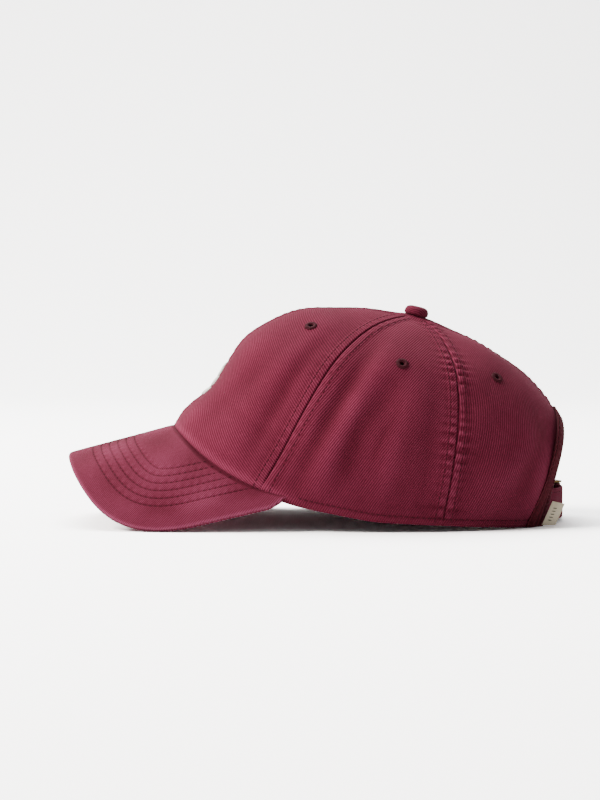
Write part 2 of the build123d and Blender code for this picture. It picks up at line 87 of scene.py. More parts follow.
def corner(node: str, high: bool) -> Array:
    """The highest or lowest corner of a CAD node, in millimetres."""
    return np.array(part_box(node)[1 if high else 0]) / MM


def srgb(code: str) -> tuple[float, float, float, float]:
    """Turns an sRGB hex colour, such as #80334b, to linear RGBA."""
    parts = [int(code[i:i + 2], 16) / 255.0 for i in (1, 3, 5)]
    linear = [p / 12.92 if p <= 0.04045 else ((p + 0.055) / 1.055) ** 2.4 for p in parts]
    return (linear[0], linear[1], linear[2], 1.0)


def arc_length(points: Array) -> Array:
    """Distance run along a row of points, starting at 0."""
    steps = np.linalg.norm(np.diff(points, axis=0), axis=-1)
    return np.concatenate([[0.0], np.cumsum(steps)])


def resample(points: Array, spacing: float, start: float = 0.0) -> tuple[Array, Array]:
    """Points evenly spaced along a row of points.

    Args:
        points: (N, K) row; the first three columns are a place.
        spacing: distance between the new points.
        start: distance of the first new point from the row's start.

    Returns:
        The new (M, K) rows, and the unit direction of travel at each.
    """
    run = arc_length(points[:, :3])
    marks = np.arange(start, run[-1], spacing)
    rows = np.stack([np.interp(marks, run, column) for column in points.T], axis=-1)
    ahead = np.stack([np.interp(marks + 0.4, run, c) for c in points[:, :3].T], axis=-1)
    behind = np.stack([np.interp(marks - 0.4, run, c) for c in points[:, :3].T], axis=-1)
    return rows, unit(ahead - behind)


# ---- the form of the crown
@dataclass(frozen=True)
class Ring:
    """A control ring of the crown, in the crown's leaning frame."""

    centre: float
    front: float
    rear: float
    half_width: float
    roundness: float
    height: float
    lean: float = 0.0
    waist: float = 0.0


@dataclass(frozen=True)
class Seam:
    """A seam between two panels, with the way its two stitch rows pucker the cloth."""

    name: str
    angle: float
    pucker: float
    pitch: float
    phase: float
    pull: float


@dataclass(frozen=True)
class Fold:
    """A soft dent (depth < 0) or ridge in the cloth.

    angle and share place it on the crown; lean turns its length from straight up towards
    the rear, in degrees; length and width are half sizes.
    """

    angle: float
    share: float
    lean: float
    length: float
    width: float
    depth: float


@dataclass(frozen=True)
class Wave:
    """One plane wave of the cloth's uneven surface."""

    direction: tuple[float, float, float]
    phase: float
    height: float


def random_waves(seed: int, count: int, shortest: float, longest: float, height: float) -> list[Wave]:
    """Plane waves in random directions.

    Args:
        seed: start of the random draws.
        count: how many waves.
        shortest: shortest wavelength.
        longest: longest wavelength; longer waves are higher, as its square root.
        height: about the height of their sum.

    Returns:
        The waves.
    """
    rng = np.random.default_rng(seed)
    waves = []
    for _ in range(count):
        way = unit(rng.normal(size=3))
        length = shortest * (longest / shortest) ** rng.random()
        turns = way * 2.0 * math.pi / length
        share = height * math.sqrt(2.0 / count) * (length / longest) ** 0.5
        waves.append(Wave((turns[0], turns[1], turns[2]), rng.random() * 2.0 * math.pi, share))
    return waves


@dataclass(frozen=True)
class CrownForm:
    """The crown as a surface of two parameters.

    angle goes round from the forehead (0) by the wearer's left (90 degrees) to the nape;
    share goes up from the hem (0) to the apex (1). A point is the cubic Bezier curve, in
    share, of four control points at that angle: the hem, two superellipse rings in the
    leaning frame, and the apex.
    """

    tip: float = 167.7
    head_y: float = float(corner("brim_upper_cover", False)[1]) + tip
    hem_front: float = 107.0
    hem_rear: float = 109.0
    hem_half_width: float = 77.0
    hem_roundness: float = 2.35
    side_rise: float = 6.3
    nape_level: float = 0.05
    hem_tuck: float = 1.9
    tilt: float = math.radians(13.5)
    foot_z: float = 30.0
    low: Ring = Ring(1.5, 77.4, 116.3, 82.7, 2.2, 46.1, 7.5, 14.9)
    high: Ring = Ring(20.1, 112.0, 70.8, 55.9, 2.0, 80.7)
    rise: float = 200.0
    apex_offset: float = 7.7
    apex_height: float = 92.6
    patch_y: float = 34.0
    patch_z: float = 48.0
    patch_reach: float = 17.0
    arch_half_width: float = 41.0
    arch_height: float = 57.0
    tip_z: float = 37.0
    brim_slope: float = 0.266
    brim_drop: float = 50.1
    brim_curl: float = 2.4
    brim_half_width: float = 75.0
    stitch_row: float = 4.6
    seams: tuple[Seam, ...] = (
        Seam("front", 0.0, 0.22, 5.6, 0.3, 0.3),
        Seam("front_left", 60.8, 0.16, 6.1, 1.7, 1.0),
        Seam("front_right", -60.8, 0.18, 5.9, 2.9, 1.0),
        Seam("rear_left", 108.7, 0.66, 5.6, 0.9, 1.1),
        Seam("rear_right", -108.7, 0.60, 5.8, 4.1, 1.1),
        Seam("rear", 180.0, 0.36, 5.4, 2.2, 0.3),
    )
    folds: tuple[Fold, ...] = (
        Fold(50.0, 0.30, 0.0, 46.0, 6.0, -1.5),
        Fold(42.0, 0.36, 6.0, 40.0, 8.0, 0.7),
        Fold(30.0, 0.22, 18.0, 34.0, 9.0, -0.7),
        Fold(65.8, 0.30, 0.0, 42.0, 4.6, 0.55),
        Fold(70.6, 0.36, 2.0, 44.0, 5.6, -2.3),
        Fold(77.5, 0.28, 3.0, 34.0, 6.5, 1.3),
        Fold(84.0, 0.36, 6.0, 36.0, 7.5, -1.5),
        Fold(92.0, 0.26, 0.0, 34.0, 8.0, 0.9),
        Fold(101.0, 0.30, -4.0, 40.0, 6.0, -1.0),
        Fold(86.0, 0.62, 20.0, 22.0, 10.0, 0.7),
        Fold(119.0, 0.32, 24.0, 30.0, 9.0, -1.5),
        Fold(131.0, 0.24, 34.0, 28.0, 8.0, 1.1),
        Fold(143.0, 0.30, 30.0, 26.0, 8.0, -1.0),
        Fold(128.0, 0.58, 60.0, 26.0, 9.0, -0.8),
    )
    waves: tuple[Wave, ...] = tuple(random_waves(7, 22, 26.0, 80.0, 0.55))

    def to_world(self, x: Array, forward: Array, up: Array) -> Array:
        """A point of the leaning frame: turned by the tilt about X, then put on its foot."""
        cos, sin = math.cos(self.tilt), math.sin(self.tilt)
        y = self.head_y + 1.5 + forward * cos + up * sin
        return np.stack([x, y, self.foot_z - forward * sin + up * cos], axis=-1)

    def superellipse(self, angle: Array, roundness: float) -> tuple[Array, Array]:
        """sign(sin)|sin|^(2/n) and the same of cos."""
        sine, cosine = np.sin(angle), np.cos(angle)
        power = 2.0 / roundness
        return np.sign(sine) * np.abs(sine) ** power, np.sign(cosine) * np.abs(cosine) ** power

    def brim_top(self, x: Array, y: Array) -> Array:
        """The brim's top: a slope from the tip, less a drop that grows as |x|^curl.

        Args:
            x: places across.
            y: places along the brim.

        Returns:
            The heights.
        """
        run = y - (self.head_y - self.tip)
        drop = self.brim_drop + (run - 55.7) / 15.0
        fall = (np.abs(x) / self.brim_half_width) ** self.brim_curl
        return self.tip_z + run * self.brim_slope - drop * fall

    def hem(self, angle: Array) -> Array:
        """The lower edge: a superellipse in plan, on the brim in front and level behind.

        Args:
            angle: angles round the crown.

        Returns:
            The points.
        """
        s, c = self.superellipse(angle, self.hem_roundness)
        x = self.hem_half_width * s
        y = self.head_y - np.where(c > 0, self.hem_front, self.hem_rear) * c
        front = self.brim_top(x, y) - self.hem_tuck
        back = self.nape_level + self.side_rise * np.clip((self.head_y + 98.0 - y) / 104.0, 0, 1.2)
        share = smooth(self.head_y - 61.0, self.head_y + 9.0, y)
        return np.stack([x, y, (1 - share) * front + share * back], axis=-1)

    def ring(self, angle: Array, ring: Ring) -> Array:
        """A control ring: its height rises and falls with cos(angle) and cos(2 angle).

        Args:
            angle: angles round the crown.
            ring: the ring's sizes.

        Returns:
            The points.
        """
        s, c = self.superellipse(angle, ring.roundness)
        reach = np.where(c > 0, ring.front, ring.rear)
        up = ring.height + ring.lean * np.cos(angle) + ring.waist * np.cos(2 * angle)
        return self.to_world(ring.half_width * s, ring.centre - reach * c, up)

    def apex(self) -> Array:
        """The point under the button."""
        return self.to_world(np.array(0.0), np.array(self.apex_offset), np.array(self.apex_height))

    def base(self, angle: Array, share: Array) -> Array:
        """The smooth crown, with no seams or folds.

        Args:
            angle: angle of each point.
            share: share of each point.

        Returns:
            The points.
        """
        angle, share = np.broadcast_arrays(angle, share)
        t = share[..., None]
        r = 1.0 - t
        low, high = self.ring(angle, self.low), self.ring(angle, self.high)
        return r**3 * self.hem(angle) + 3 * r * r * t * low + 3 * r * t * t * high + t**3 * self.apex()

    def normal(self, angle: Array, share: Array) -> Array:
        """Unit normal of the smooth crown, made level at the hem.

        Args:
            angle: angle of each point.
            share: share of each point.

        Returns:
            The unit normals, outwards.
        """
        angle, share = np.broadcast_arrays(angle, share)
        step = 2e-3
        low = np.clip(share - step, 0.0, 1.0 - 2 * step)
        across = self.base(angle + step, share) - self.base(angle - step, share)
        up = self.base(angle, low + 2 * step) - self.base(angle, low)
        normal = unit(np.cross(across, up))
        level = unit(normal * np.array([1.0, 1.0, 0.0]))
        blend = smooth(0.0, 0.12, share)[..., None]
        return unit(normal * blend + level * (1 - blend))

    def height_on(self, angle: float, share: Array) -> Array:
        """Distance up the cloth from the hem, at one angle."""
        table = np.linspace(0.0, 1.0, 240)
        run = arc_length(self.base(np.full_like(table, angle), table))
        return np.interp(share, table, run)

    def share_at(self, angle: float, height: float) -> float:
        """The share that lies a distance up the cloth from the hem."""
        table = np.linspace(0.0, 1.0, 240)
        return float(np.interp(height, self.height_on(angle, table), table))

    def apex_distance(self, points: Array) -> Array:
        """Distance in plan from the apex."""
        return np.hypot(points[..., 0] - self.apex()[0], points[..., 1] - self.apex()[1])

    def arch_distance(self, points: Array) -> Array:
        """Distance from the rear opening's edge, about (e - 1) / |grad e| for its ellipse e.

        Args:
            points: places on the crown.

        Returns:
            The distances, and a large number on the front half.
        """
        x, z = points[..., 0] / self.arch_half_width, points[..., 2] / self.arch_height
        e = np.maximum(np.hypot(x, z), 1e-6)
        slope = np.hypot(x / self.arch_half_width, z / self.arch_height) / e
        distance = (e - 1.0) / np.maximum(slope, 1e-6)
        return np.where(points[..., 1] > self.head_y + 60.0, distance, 200.0)

    def seam_relief(self, seam: Seam, angle: Array, share: Array, points: Array) -> Array:
        """Height of the cloth round one seam.

        With d the distance from the seam line: a groove on the line, a raised band of
        turned-in cloth out to the stitch row, the row's own groove, a wide pull
        inwards, and puckers, which are a sine along the seam with a wandering phase.

        Args:
            seam: the seam.
            angle: angle of each point.
            share: share of each point.
            points: the points of the smooth crown.

        Returns:
            The height, outwards.
        """
        middle = math.radians(seam.angle)
        gap = (angle - middle + math.pi) % (2 * math.pi) - math.pi
        near = np.abs(gap) < 1.0
        on_seam = self.base(np.full_like(share, middle), share)
        d = np.where(near, np.linalg.norm(points - on_seam, axis=-1), 200.0)
        s = self.height_on(middle, share)
        side = np.sign(gap)
        line = -0.50 * bump(d, 0.0, 0.36)
        band = 0.50 * smooth(0.15, 1.0, d) * (1 - smooth(4.8, 6.2, d))
        row = -0.42 * bump(d, self.stitch_row, 0.42)
        pull = -seam.pull * bump(d, 0.0, 12.0)
        turn = 2 * math.pi * s / seam.pitch + 1.3 * np.sin(2 * math.pi * s / 33.0 + seam.phase)
        beat = 0.60 + 0.40 * np.sin(2 * math.pi * s / 47.0 + 2 * seam.phase)
        wave = np.sin(turn + 0.9 * side) + 0.35 * np.sin(2.1 * turn + side)
        cover = bump(d, 2.5, 1.6) + 0.40 * bump(d, 6.4, 1.7) + 0.10 * bump(d, 10.0, 3.0)
        return line + band + row + pull + seam.pucker * beat * wave * cover

    def fold_relief(self, points: Array) -> Array:
        """Sum of the folds: each is depth exp(-(along/length)^2 - (across/width)^2).

        Args:
            points: places on the smooth crown.

        Returns:
            The height, outwards.
        """
        total = np.zeros(points.shape[:-1])
        for fold in self.folds:
            for side in Side:
                angle = np.array(side.value * math.radians(fold.angle))
                share = np.array(fold.share)
                centre = self.base(angle, share)
                out = self.normal(angle, share)
                up = unit(self.base(angle, share + 0.02) - self.base(angle, share - 0.02))
                round_ = unit(np.cross(up, out))
                lean = math.radians(fold.lean) * side.value
                length = up * math.cos(lean) + round_ * math.sin(lean)
                width = round_ * math.cos(lean) - up * math.sin(lean)
                away = points - centre
                along, across, off = away @ length, away @ width, away @ out
                bell = np.exp(-((along / fold.length) ** 2) - (across / fold.width) ** 2)
                total += fold.depth * bell * np.exp(-((off / 30.0) ** 2))
        return total

    def relief(self, angle: Array, share: Array, points: Array) -> Array:
        """Everything that the sewn, washed cloth adds to the smooth crown.

        The folds, waves and seams are summed, faded out at the button, the hem and the
        opening, and held flat over the loop patches. Then come the roll over the brim, the
        front's three soft steps, and the groove of the hem's stitch row.

        Args:
            angle: angle of each point.
            share: share of each point.
            points: the points of the smooth crown.

        Returns:
            The height, outwards.
        """
        x, y, z = points[..., 0], points[..., 1], points[..., 2]
        total = self.fold_relief(points)
        for wave in self.waves:
            total = total + wave.height * np.sin(points @ np.array(wave.direction) + wave.phase)
        total = total + 0.1 + 0.5 * smooth(self.head_y, self.head_y + 40.0, y)
        seams = sum(self.seam_relief(seam, angle, share, points) for seam in self.seams)
        held = bump(np.hypot(y - self.patch_y, z - self.patch_z), 0.0, self.patch_reach)
        total = np.where(total < 0, total * (1 - 0.9 * held), total)
        calm = smooth(3.0, 17.0, self.apex_distance(points))
        total = total * smooth(4.0, 30.0, self.apex_distance(points)) + seams * calm
        s = share * self.rise
        over_brim = 1 - smooth(self.head_y - 66.0, self.head_y - 30.0, y)
        roll = 2.6 * smooth(0.0, 4.5, s) * (1 - smooth(10.0, 34.0, s)) - 1.3 * (1 - smooth(0.0, 3.0, s))
        centre = bump(x, 0.0, 30.0)
        brow = 2.0 * bump(z, 60.0, 8.0) - 1.5 * bump(z, 80.0, 10.0) + 1.0 * bump(z, 104.0, 9.0)
        total = total * smooth(0.0, 14.0, s) + over_brim * roll
        total = total + centre * brow * (1 - smooth(self.head_y - 70.0, self.head_y - 34.0, y))
        edge = smooth(0.0, 12.0, self.arch_distance(points))
        hem_row = -0.22 * bump(s, 5.2, 1.0) * smooth(self.head_y - 40.0, self.head_y - 25.0, y)
        return total * edge + hem_row

    def within(self, angle: Array, share: Array, depth: Array | float) -> Array:
        """A point inside the finished cloth, which follows its folds and stays off the floor.

        Args:
            angle: angle of each point.
            share: share of each point.
            depth: distance inside the cloth's face.

        Returns:
            The points.
        """
        angle, share = np.broadcast_arrays(np.asarray(angle, float), np.asarray(share, float))
        points = self.base(angle, share)
        lift = np.minimum(self.relief(angle, share, points) * 0.85, 0.6) - depth
        points = points + self.normal(angle, share) * lift[..., None]
        points[..., 2] = np.maximum(points[..., 2], 0.06)
        return points

    def surface(self, angle: Array, share: Array, height: Array | float = 0.0) -> Array:
        """A point of the finished cloth.

        Args:
            angle: angle of each point.
            share: share of each point.
            height: distance that it is raised, along the normal.

        Returns:
            The points.
        """
        angle, share = np.broadcast_arrays(np.asarray(angle, float), np.asarray(share, float))
        points = self.base(angle, share)
        lift = self.relief(angle, share, points) + height
        return points + self.normal(angle, share) * lift[..., None]

    def beside(self, seam_angle: float, offset: float, share: Array) -> Array:
        """Finds a line beside a seam, by halving.

        Args:
            seam_angle: the seam's angle in degrees.
            offset: distance from the seam; a negative one is on its other side.
            share: the shares to find it at.

        Returns:
            The angle at each share.
        """
        middle = math.radians(seam_angle)
        way = math.copysign(1.0, offset)
        on_seam = self.base(np.full_like(share, middle), share)
        low, high = np.zeros_like(share), np.full_like(share, 1.2)
        for _ in range(22):
            half = (low + high) / 2
            far = np.linalg.norm(self.base(middle + way * half, share) - on_seam, axis=-1)
            low = np.where(far < abs(offset), half, low)
            high = np.where(far < abs(offset), high, half)
        return middle + way * low

    def locate(self, x: Array, z: Array) -> tuple[Array, Array]:
        """Finds the points at the rear with a given X and Z, by Newton's method.

        Args:
            x: places across.
            z: places up.

        Returns:
            Their angle and share.
        """
        angle = math.pi - np.arcsin(np.clip(x / self.low.half_width, -0.95, 0.95))
        share = np.clip(z / 150.0, 0.0, 0.6)
        step = 1e-4
        for _ in range(14):
            here = self.base(angle, share)
            by_angle = (self.base(angle + step, share) - here) / step
            by_share = (self.base(angle, share + step) - here) / step
            miss_x, miss_z = x - here[..., 0], z - here[..., 2]
            det = by_angle[..., 0] * by_share[..., 2] - by_share[..., 0] * by_angle[..., 2]
            det = np.where(np.abs(det) < 1e-6, 1e-6, det)
            turn = (miss_x * by_share[..., 2] - by_share[..., 0] * miss_z) / det
            rise = (by_angle[..., 0] * miss_z - miss_x * by_angle[..., 2]) / det
            angle = angle + np.clip(turn, -0.2, 0.2)
            share = share + np.clip(rise, -0.1, 0.1)
        return angle, share


FORM = CrownForm()


# ---- meshes
class Finish:
    """The base of every finish: it builds one procedural material and keeps it."""

    name = "finish"

    def build(self, tree: bpy.types.NodeTree, shader: bpy.types.Node) -> None:
        """Adds the finish's own nodes. Each finish says here what it is made of."""

    def join(self, tree: bpy.types.NodeTree, shader: bpy.types.Node, colour: bpy.types.Node,
             relief: bpy.types.Node) -> None:
        """Links a colour ramp and a bump to the shader."""
        tree.links.new(colour.outputs["Color"], shader.inputs["Base Color"])
        tree.links.new(relief.outputs["Normal"], shader.inputs["Normal"])

    def material(self) -> bpy.types.Material:
        """The material, made the first time it is asked for.

        Returns:
            The material.
        """
        found = bpy.data.materials.get(self.name)
        if found is None:
            found = bpy.data.materials.new(self.name)
            found.use_nodes = True
            shader = found.node_tree.nodes["Principled BSDF"]
            self.build(found.node_tree, shader)
        return found


def write_mesh(
    name: str,
    points: Array,
    faces: Array,
    uv: Array | None = None,
    wear: Array | None = None,
) -> bpy.types.Object:
    """A smooth-shaded object from points in millimetres and faces of four corners.

    Args:
        name: the piece's name.
        points: (N, 3) places.
        faces: (M, 4) corner numbers, outwards by the right-hand rule.
        uv: (N, 2) places on the cloth, in metres.
        wear: (N,) rubbing and painted light at each point, from -1 (a hollow with painted shade) to 1 (a
            ridge painted paler, partly rubbed and partly painted highlight).

    Returns:
        The object, linked to the scene.
    """
    mesh = bpy.data.meshes.new(name)
    mesh.vertices.add(len(points))
    mesh.vertices.foreach_set("co", (points * MM).astype(np.float32).ravel())
    mesh.loops.add(faces.size)
    mesh.loops.foreach_set("vertex_index", faces.astype(np.int32).ravel())
    mesh.polygons.add(len(faces))
    mesh.polygons.foreach_set("loop_start", np.arange(0, faces.size, 4, dtype=np.int32))
    mesh.polygons.foreach_set("use_smooth", np.ones(len(faces), bool))
    mesh.update(calc_edges=True)
    if uv is not None:
        layer = mesh.uv_layers.new(name="cloth")
        layer.data.foreach_set("uv", uv[faces.ravel()].astype(np.float32).ravel())
    if wear is not None:
        # Point attribute that paints shade into hollows and grooves, and paints ridges paler for rubbing
        # and highlight.
        attribute = mesh.attributes.new("wear", "FLOAT", "POINT")
        attribute.data.foreach_set("value", wear.astype(np.float32))
    mesh.validate()
    piece = bpy.data.objects.new(name, mesh)
    bpy.context.scene.collection.objects.link(piece)
    return piece


def layered(outer: Array, inner: Array, keep: Array | None = None) -> tuple[Array, Array]:
    """Points and faces of a closed sheet between two grids.

    Cells where keep is False are left out, and every free edge gets a wall, so the sheet
    stays closed round a hole.

    Args:
        outer: (R, C, 3) grid seen from outside, columns to the viewer's right, rows up.
        inner: the same grid on the inside.
        keep: (R - 1, C - 1) which cells exist.

    Returns:
        The points, and the faces of four corners.
    """
    rows, columns = outer.shape[:2]
    number = np.arange(rows * columns).reshape(rows, columns)
    if keep is None:
        keep = np.ones((rows - 1, columns - 1), bool)
    a, b = number[:-1, :-1], number[:-1, 1:]
    c, d = number[1:, 1:], number[1:, :-1]
    back = rows * columns
    front = np.stack([a, b, c, d], axis=-1)[keep]
    faces = [front, front[:, ::-1] + back]
    ring = np.pad(keep, 1)
    inside = ring[1:-1, 1:-1]
    borders = (
        (ring[:-2, 1:-1], a, b),
        (ring[1:-1, 2:], b, c),
        (ring[2:, 1:-1], c, d),
        (ring[1:-1, :-2], d, a),
    )
    for neighbour, start, end in borders:
        free = inside & ~neighbour
        p, q = start[free], end[free]
        faces.append(np.stack([p, p + back, q + back, q], axis=-1))
    points = np.concatenate([outer.reshape(-1, 3), inner.reshape(-1, 3)])
    return points, np.concatenate(faces)


def tube_faces(rows: int, columns: int) -> Array:
    """Faces of a grid whose columns close into a ring."""
    number = np.arange(rows * columns).reshape(rows, columns)
    right = np.roll(number, -1, axis=1)
    return np.stack([number[:-1], right[:-1], right[1:], number[1:]], axis=-1).reshape(-1, 4)


def dress(
    piece: bpy.types.Object,
    finish: Finish,
    body: str = "cap",
    nodes: tuple[str, ...] = (),
) -> bpy.types.Object:
    """Gives a piece its material, its body and the CAD nodes it stands for.

    Args:
        piece: the object.
        finish: its finish.
        body: the body that it rides on.
        nodes: CAD nodes that it replaces.

    Returns:
        The same object.
    """
    piece.data.materials.clear()
    piece.data.materials.append(finish.material())
    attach(piece, body)
    if nodes:
        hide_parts(*nodes)
    LOG.info("%s: %d faces on %s", piece.name, len(piece.data.polygons), body)
    return piece


def sheet_piece(
    name: str,
    outer: Array,
    inner: Array,
    uv: Array | None = None,
    wear: Array | None = None,
    keep: Array | None = None,
) -> bpy.types.Object:
    """Makes a closed sheet from an outer and an inner grid.

    Args:
        name: the piece's name.
        outer: (R, C, 3) grid seen from outside.
        inner: the same grid on the inside.
        uv: (R, C, 2) places on the cloth, in metres.
        wear: (R, C) rubbing, painted highlight and painted shade of the outer face.
        keep: (R - 1, C - 1) which cells exist.

    Returns:
        The piece.
    """
    points, faces = layered(outer, inner, keep)
    both_uv = None if uv is None else np.tile(uv.reshape(-1, 2), (2, 1))
    if wear is None:
        wear = np.zeros(outer.shape[:2])
    both_wear_and_shading = np.concatenate([wear.ravel(), np.zeros(wear.size)])
    used = np.unique(faces)  # a hole leaves points that no face uses
    number = np.zeros(len(points), int)
    number[used] = np.arange(len(used))
    if both_uv is not None:
        both_uv = both_uv[used]
    return write_mesh(name, points[used], number[faces], both_uv, both_wear_and_shading[used])


@dataclass(frozen=True)
class Thread:
    """Sewing thread: how long each stitch is, its pitch and its thickness."""

    length: float = 2.5
    pitch: float = 3.1
    width: float = 0.42

    def template(self) -> tuple[Array, Array]:
        """One stitch along X on Z = 0: a hexagonal rod that dips into the cloth at its ends.

        Returns:
            The points, and the faces of four corners.
        """
        along = np.linspace(-0.5, 0.5, 5)
        turn = np.arange(6) * math.pi / 3
        fat = np.array([0.35, 0.95, 1.0, 0.95, 0.35])[:, None]
        x = np.repeat(along[:, None], 6, axis=1)
        y = np.cos(turn)[None, :] * fat
        z = np.sin(turn)[None, :] * fat - 1.5 * (2 * along[:, None]) ** 4
        grid = np.stack([x, y, z], axis=-1).reshape(-1, 3)
        faces = tube_faces(5, 6)[:, ::-1]
        caps = np.array([[0, 1, 2, 3], [0, 3, 4, 5], [27, 26, 25, 24], [24, 29, 28, 27]])
        return grid, np.concatenate([faces, caps])

    def sew(self, name: str, places: Array, along: Array, out: Array) -> bpy.types.Object:
        """Makes one mesh of stitches, each set along its direction.

        Args:
            name: the piece's name.
            places: (N, 3) middles of the stitches.
            along: (N, 3) unit directions of the stitches.
            out: (N, 3) unit directions out of the cloth.

        Returns:
            The piece.
        """
        grid, faces = self.template()
        across = unit(np.cross(out, along))
        scale = np.array([self.length, self.width / 2, self.width / 2])
        local = grid * scale
        points = (
            places[:, None, :]
            + along[:, None, :] * local[None, :, 0:1]
            + across[:, None, :] * local[None, :, 1:2]
            + out[:, None, :] * local[None, :, 2:3]
        )
        shift = (np.arange(len(places)) * len(grid))[:, None, None]
        quads = (faces[None] + shift).reshape(-1, 4)
        return write_mesh(name, points.reshape(-1, 3), quads, wear=np.zeros(points.size // 3))

    def follow(self, name: str, rows: list[Array]) -> bpy.types.Object:
        """Makes evenly spaced stitches along several rows.

        Args:
            name: the piece's name.
            rows: (N, 6) rows, each a place and the way out of the cloth.

        Returns:
            The piece.
        """
        places, along, out = [], [], []
        for i, row in enumerate(rows):
            marks, way = resample(row, self.pitch, 0.7 + 0.37 * (i % 5))
            places.append(marks[:, :3])
            along.append(way)
            out.append(unit(marks[:, 3:6]))
        return self.sew(name, np.concatenate(places), np.concatenate(along), np.concatenate(out))


# ---- finishes
def add(
    tree: bpy.types.NodeTree,
    kind: str,
    settings: dict | None = None,
    stops: tuple[tuple[float, str], ...] = (),
    **links: bpy.types.NodeSocket | float | str,
) -> bpy.types.Node:
    """Adds a node with its settings and links.

    Args:
        tree: the material's node tree.
        kind: the node's type, without ShaderNode.
        settings: the node's properties by name.
        stops: places and hex colours of a colour ramp.
        links: sockets or values by input name, with _ for a space, or by number after _.

    Returns:
        The node.
    """
    node = tree.nodes.new("ShaderNode" + kind)
    for key, value in (settings or {}).items():
        setattr(node, key, value)
    for _ in stops[2:]:
        node.color_ramp.elements.new(0.5)
    for i, (place, code) in enumerate(stops):
        node.color_ramp.elements[i].position = place
        node.color_ramp.elements[i].color = srgb(code)
    for key, value in links.items():
        number = key.removeprefix("_")
        socket = node.inputs[int(number) if number.isdigit() else key.replace("_", " ")]
        if isinstance(value, bpy.types.NodeSocket):
            tree.links.new(value, socket)
        else:
            socket.default_value = value
    return node


def wave_scale(period: float) -> float:
    """The scale of a wave texture, whose own period is pi / 10, for a period in millimetres."""
    return math.pi / 10 / (period * MM)


@dataclass(frozen=True)
class WashedTwill(Finish):
    """Garment-dyed, enzyme-washed cotton twill: yarn-dyed look, matt, pale where it is rubbed.

    The weave shows as steep ribs, the wash leaves cloudy lighter patches and pale edges, ridges are painted
    paler (partly rubbing, partly painted highlight) and hollows get painted shade.
    Real ribs are about 0.6 mm apart, too fine to show, so they are drawn at 0.75 to 1.25 mm.
    """

    name: str = "washed_cotton_twill"
    base: str = "#581126"
    pale: str = "#80334b"
    deep: str = "#390714"
    rib: float = 1.25
    yarn: float = 0.62
    strength: float = 0.55

    def build(self, tree: bpy.types.NodeTree, shader: bpy.types.Node) -> None:
        """Ribs and cross threads on the cloth's own places; clouds and fibres in the solid.

        Args:
            tree: the material's node tree.
            shader: its Principled shader.
        """
        cloth = add(tree, "UVMap", {"uv_map": "cloth"}).outputs["UV"]
        solid = add(tree, "TexCoord").outputs["Object"]
        wobble = add(tree, "TexNoise", Vector=cloth, Scale=260.0, Detail=2.0).outputs["Fac"]
        ribs = add(
            tree, "TexWave", {"bands_direction": "X", "wave_profile": "SIN"},
            Vector=cloth, Scale=wave_scale(self.rib), Distortion=1.1, Detail=2.0, Detail_Scale=1.6,
        ).outputs["Fac"]
        yarns = add(
            tree, "TexWave", {"bands_direction": "Y", "wave_profile": "SIN"},
            Vector=cloth, Scale=wave_scale(self.yarn), Distortion=2.4, Detail=1.0,
        ).outputs["Fac"]
        clouds = add(tree, "TexNoise", Vector=solid, Scale=34.0, Detail=5.0, Roughness=0.6).outputs["Fac"]
        fibres = add(tree, "TexNoise", Vector=solid, Scale=900.0, Detail=3.0).outputs["Fac"]
        # Painted shade in hollows and seam grooves, and ridges painted paler for rubbing and highlight,
        # read from the mesh's point attribute.
        wear = add(tree, "Attribute", {"attribute_name": "wear"}).outputs["Fac"]
        weave = add(tree, "Math", {"operation": "MULTIPLY_ADD"}, _0=yarns, _1=0.05, _2=ribs).outputs[0]
        tone = add(tree, "Math", {"operation": "MULTIPLY_ADD"}, _0=weave, _1=0.48, _2=0.0).outputs[0]
        tone = add(tree, "Math", {"operation": "MULTIPLY_ADD"}, _0=clouds, _1=0.32, _2=tone).outputs[0]
        tone = add(tree, "Math", {"operation": "MULTIPLY_ADD"}, _0=fibres, _1=0.20, _2=tone).outputs[0]
        tone = add(tree, "Math", {"operation": "MULTIPLY_ADD"}, _0=wear, _1=0.26, _2=tone).outputs[0]
        stops = ((0.10, self.deep), (0.55, self.base), (1.0, self.pale))
        colour = add(tree, "ValToRGB", stops=stops, Fac=tone)
        height = add(tree, "Math", {"operation": "MULTIPLY_ADD"}, _0=wobble, _1=0.4, _2=weave).outputs[0]
        relief = add(tree, "Bump", Strength=self.strength, Distance=0.3 * MM, Height=height)
        self.join(tree, shader, colour, relief)
        shader.inputs["Roughness"].default_value = 0.9
        shader.inputs["Specular IOR Level"].default_value = 0.12
        shader.inputs["Sheen Weight"].default_value = 0.14
        shader.inputs["Sheen Roughness"].default_value = 0.5
        shader.inputs["Sheen Tint"].default_value = srgb("#b0566c")


@dataclass(frozen=True)
class SpunThread(Finish):
    """Spun polyester sewing thread: plied, a little glossier than the cloth it holds."""

    name: str = "spun_sewing_thread"
    base: str = "#4a0d1c"
    deep: str = "#2e0710"
    ply: float = 0.5

    def build(self, tree: bpy.types.NodeTree, shader: bpy.types.Node) -> None:
        """A noise as fine as the plies changes the tone and roughens the surface.

        Args:
            tree: the material's node tree.
            shader: its Principled shader.
        """
        solid = add(tree, "TexCoord").outputs["Object"]
        plies = add(tree, "TexNoise", Vector=solid, Scale=1.0 / (self.ply * MM), Detail=2.0).outputs["Fac"]
        colour = add(tree, "ValToRGB", stops=((0.3, self.deep), (0.75, self.base)), Fac=plies)
        relief = add(tree, "Bump", Strength=0.5, Distance=0.08 * MM, Height=plies)
        self.join(tree, shader, colour, relief)
        shader.inputs["Roughness"].default_value = 0.75
        shader.inputs["Specular IOR Level"].default_value = 0.12


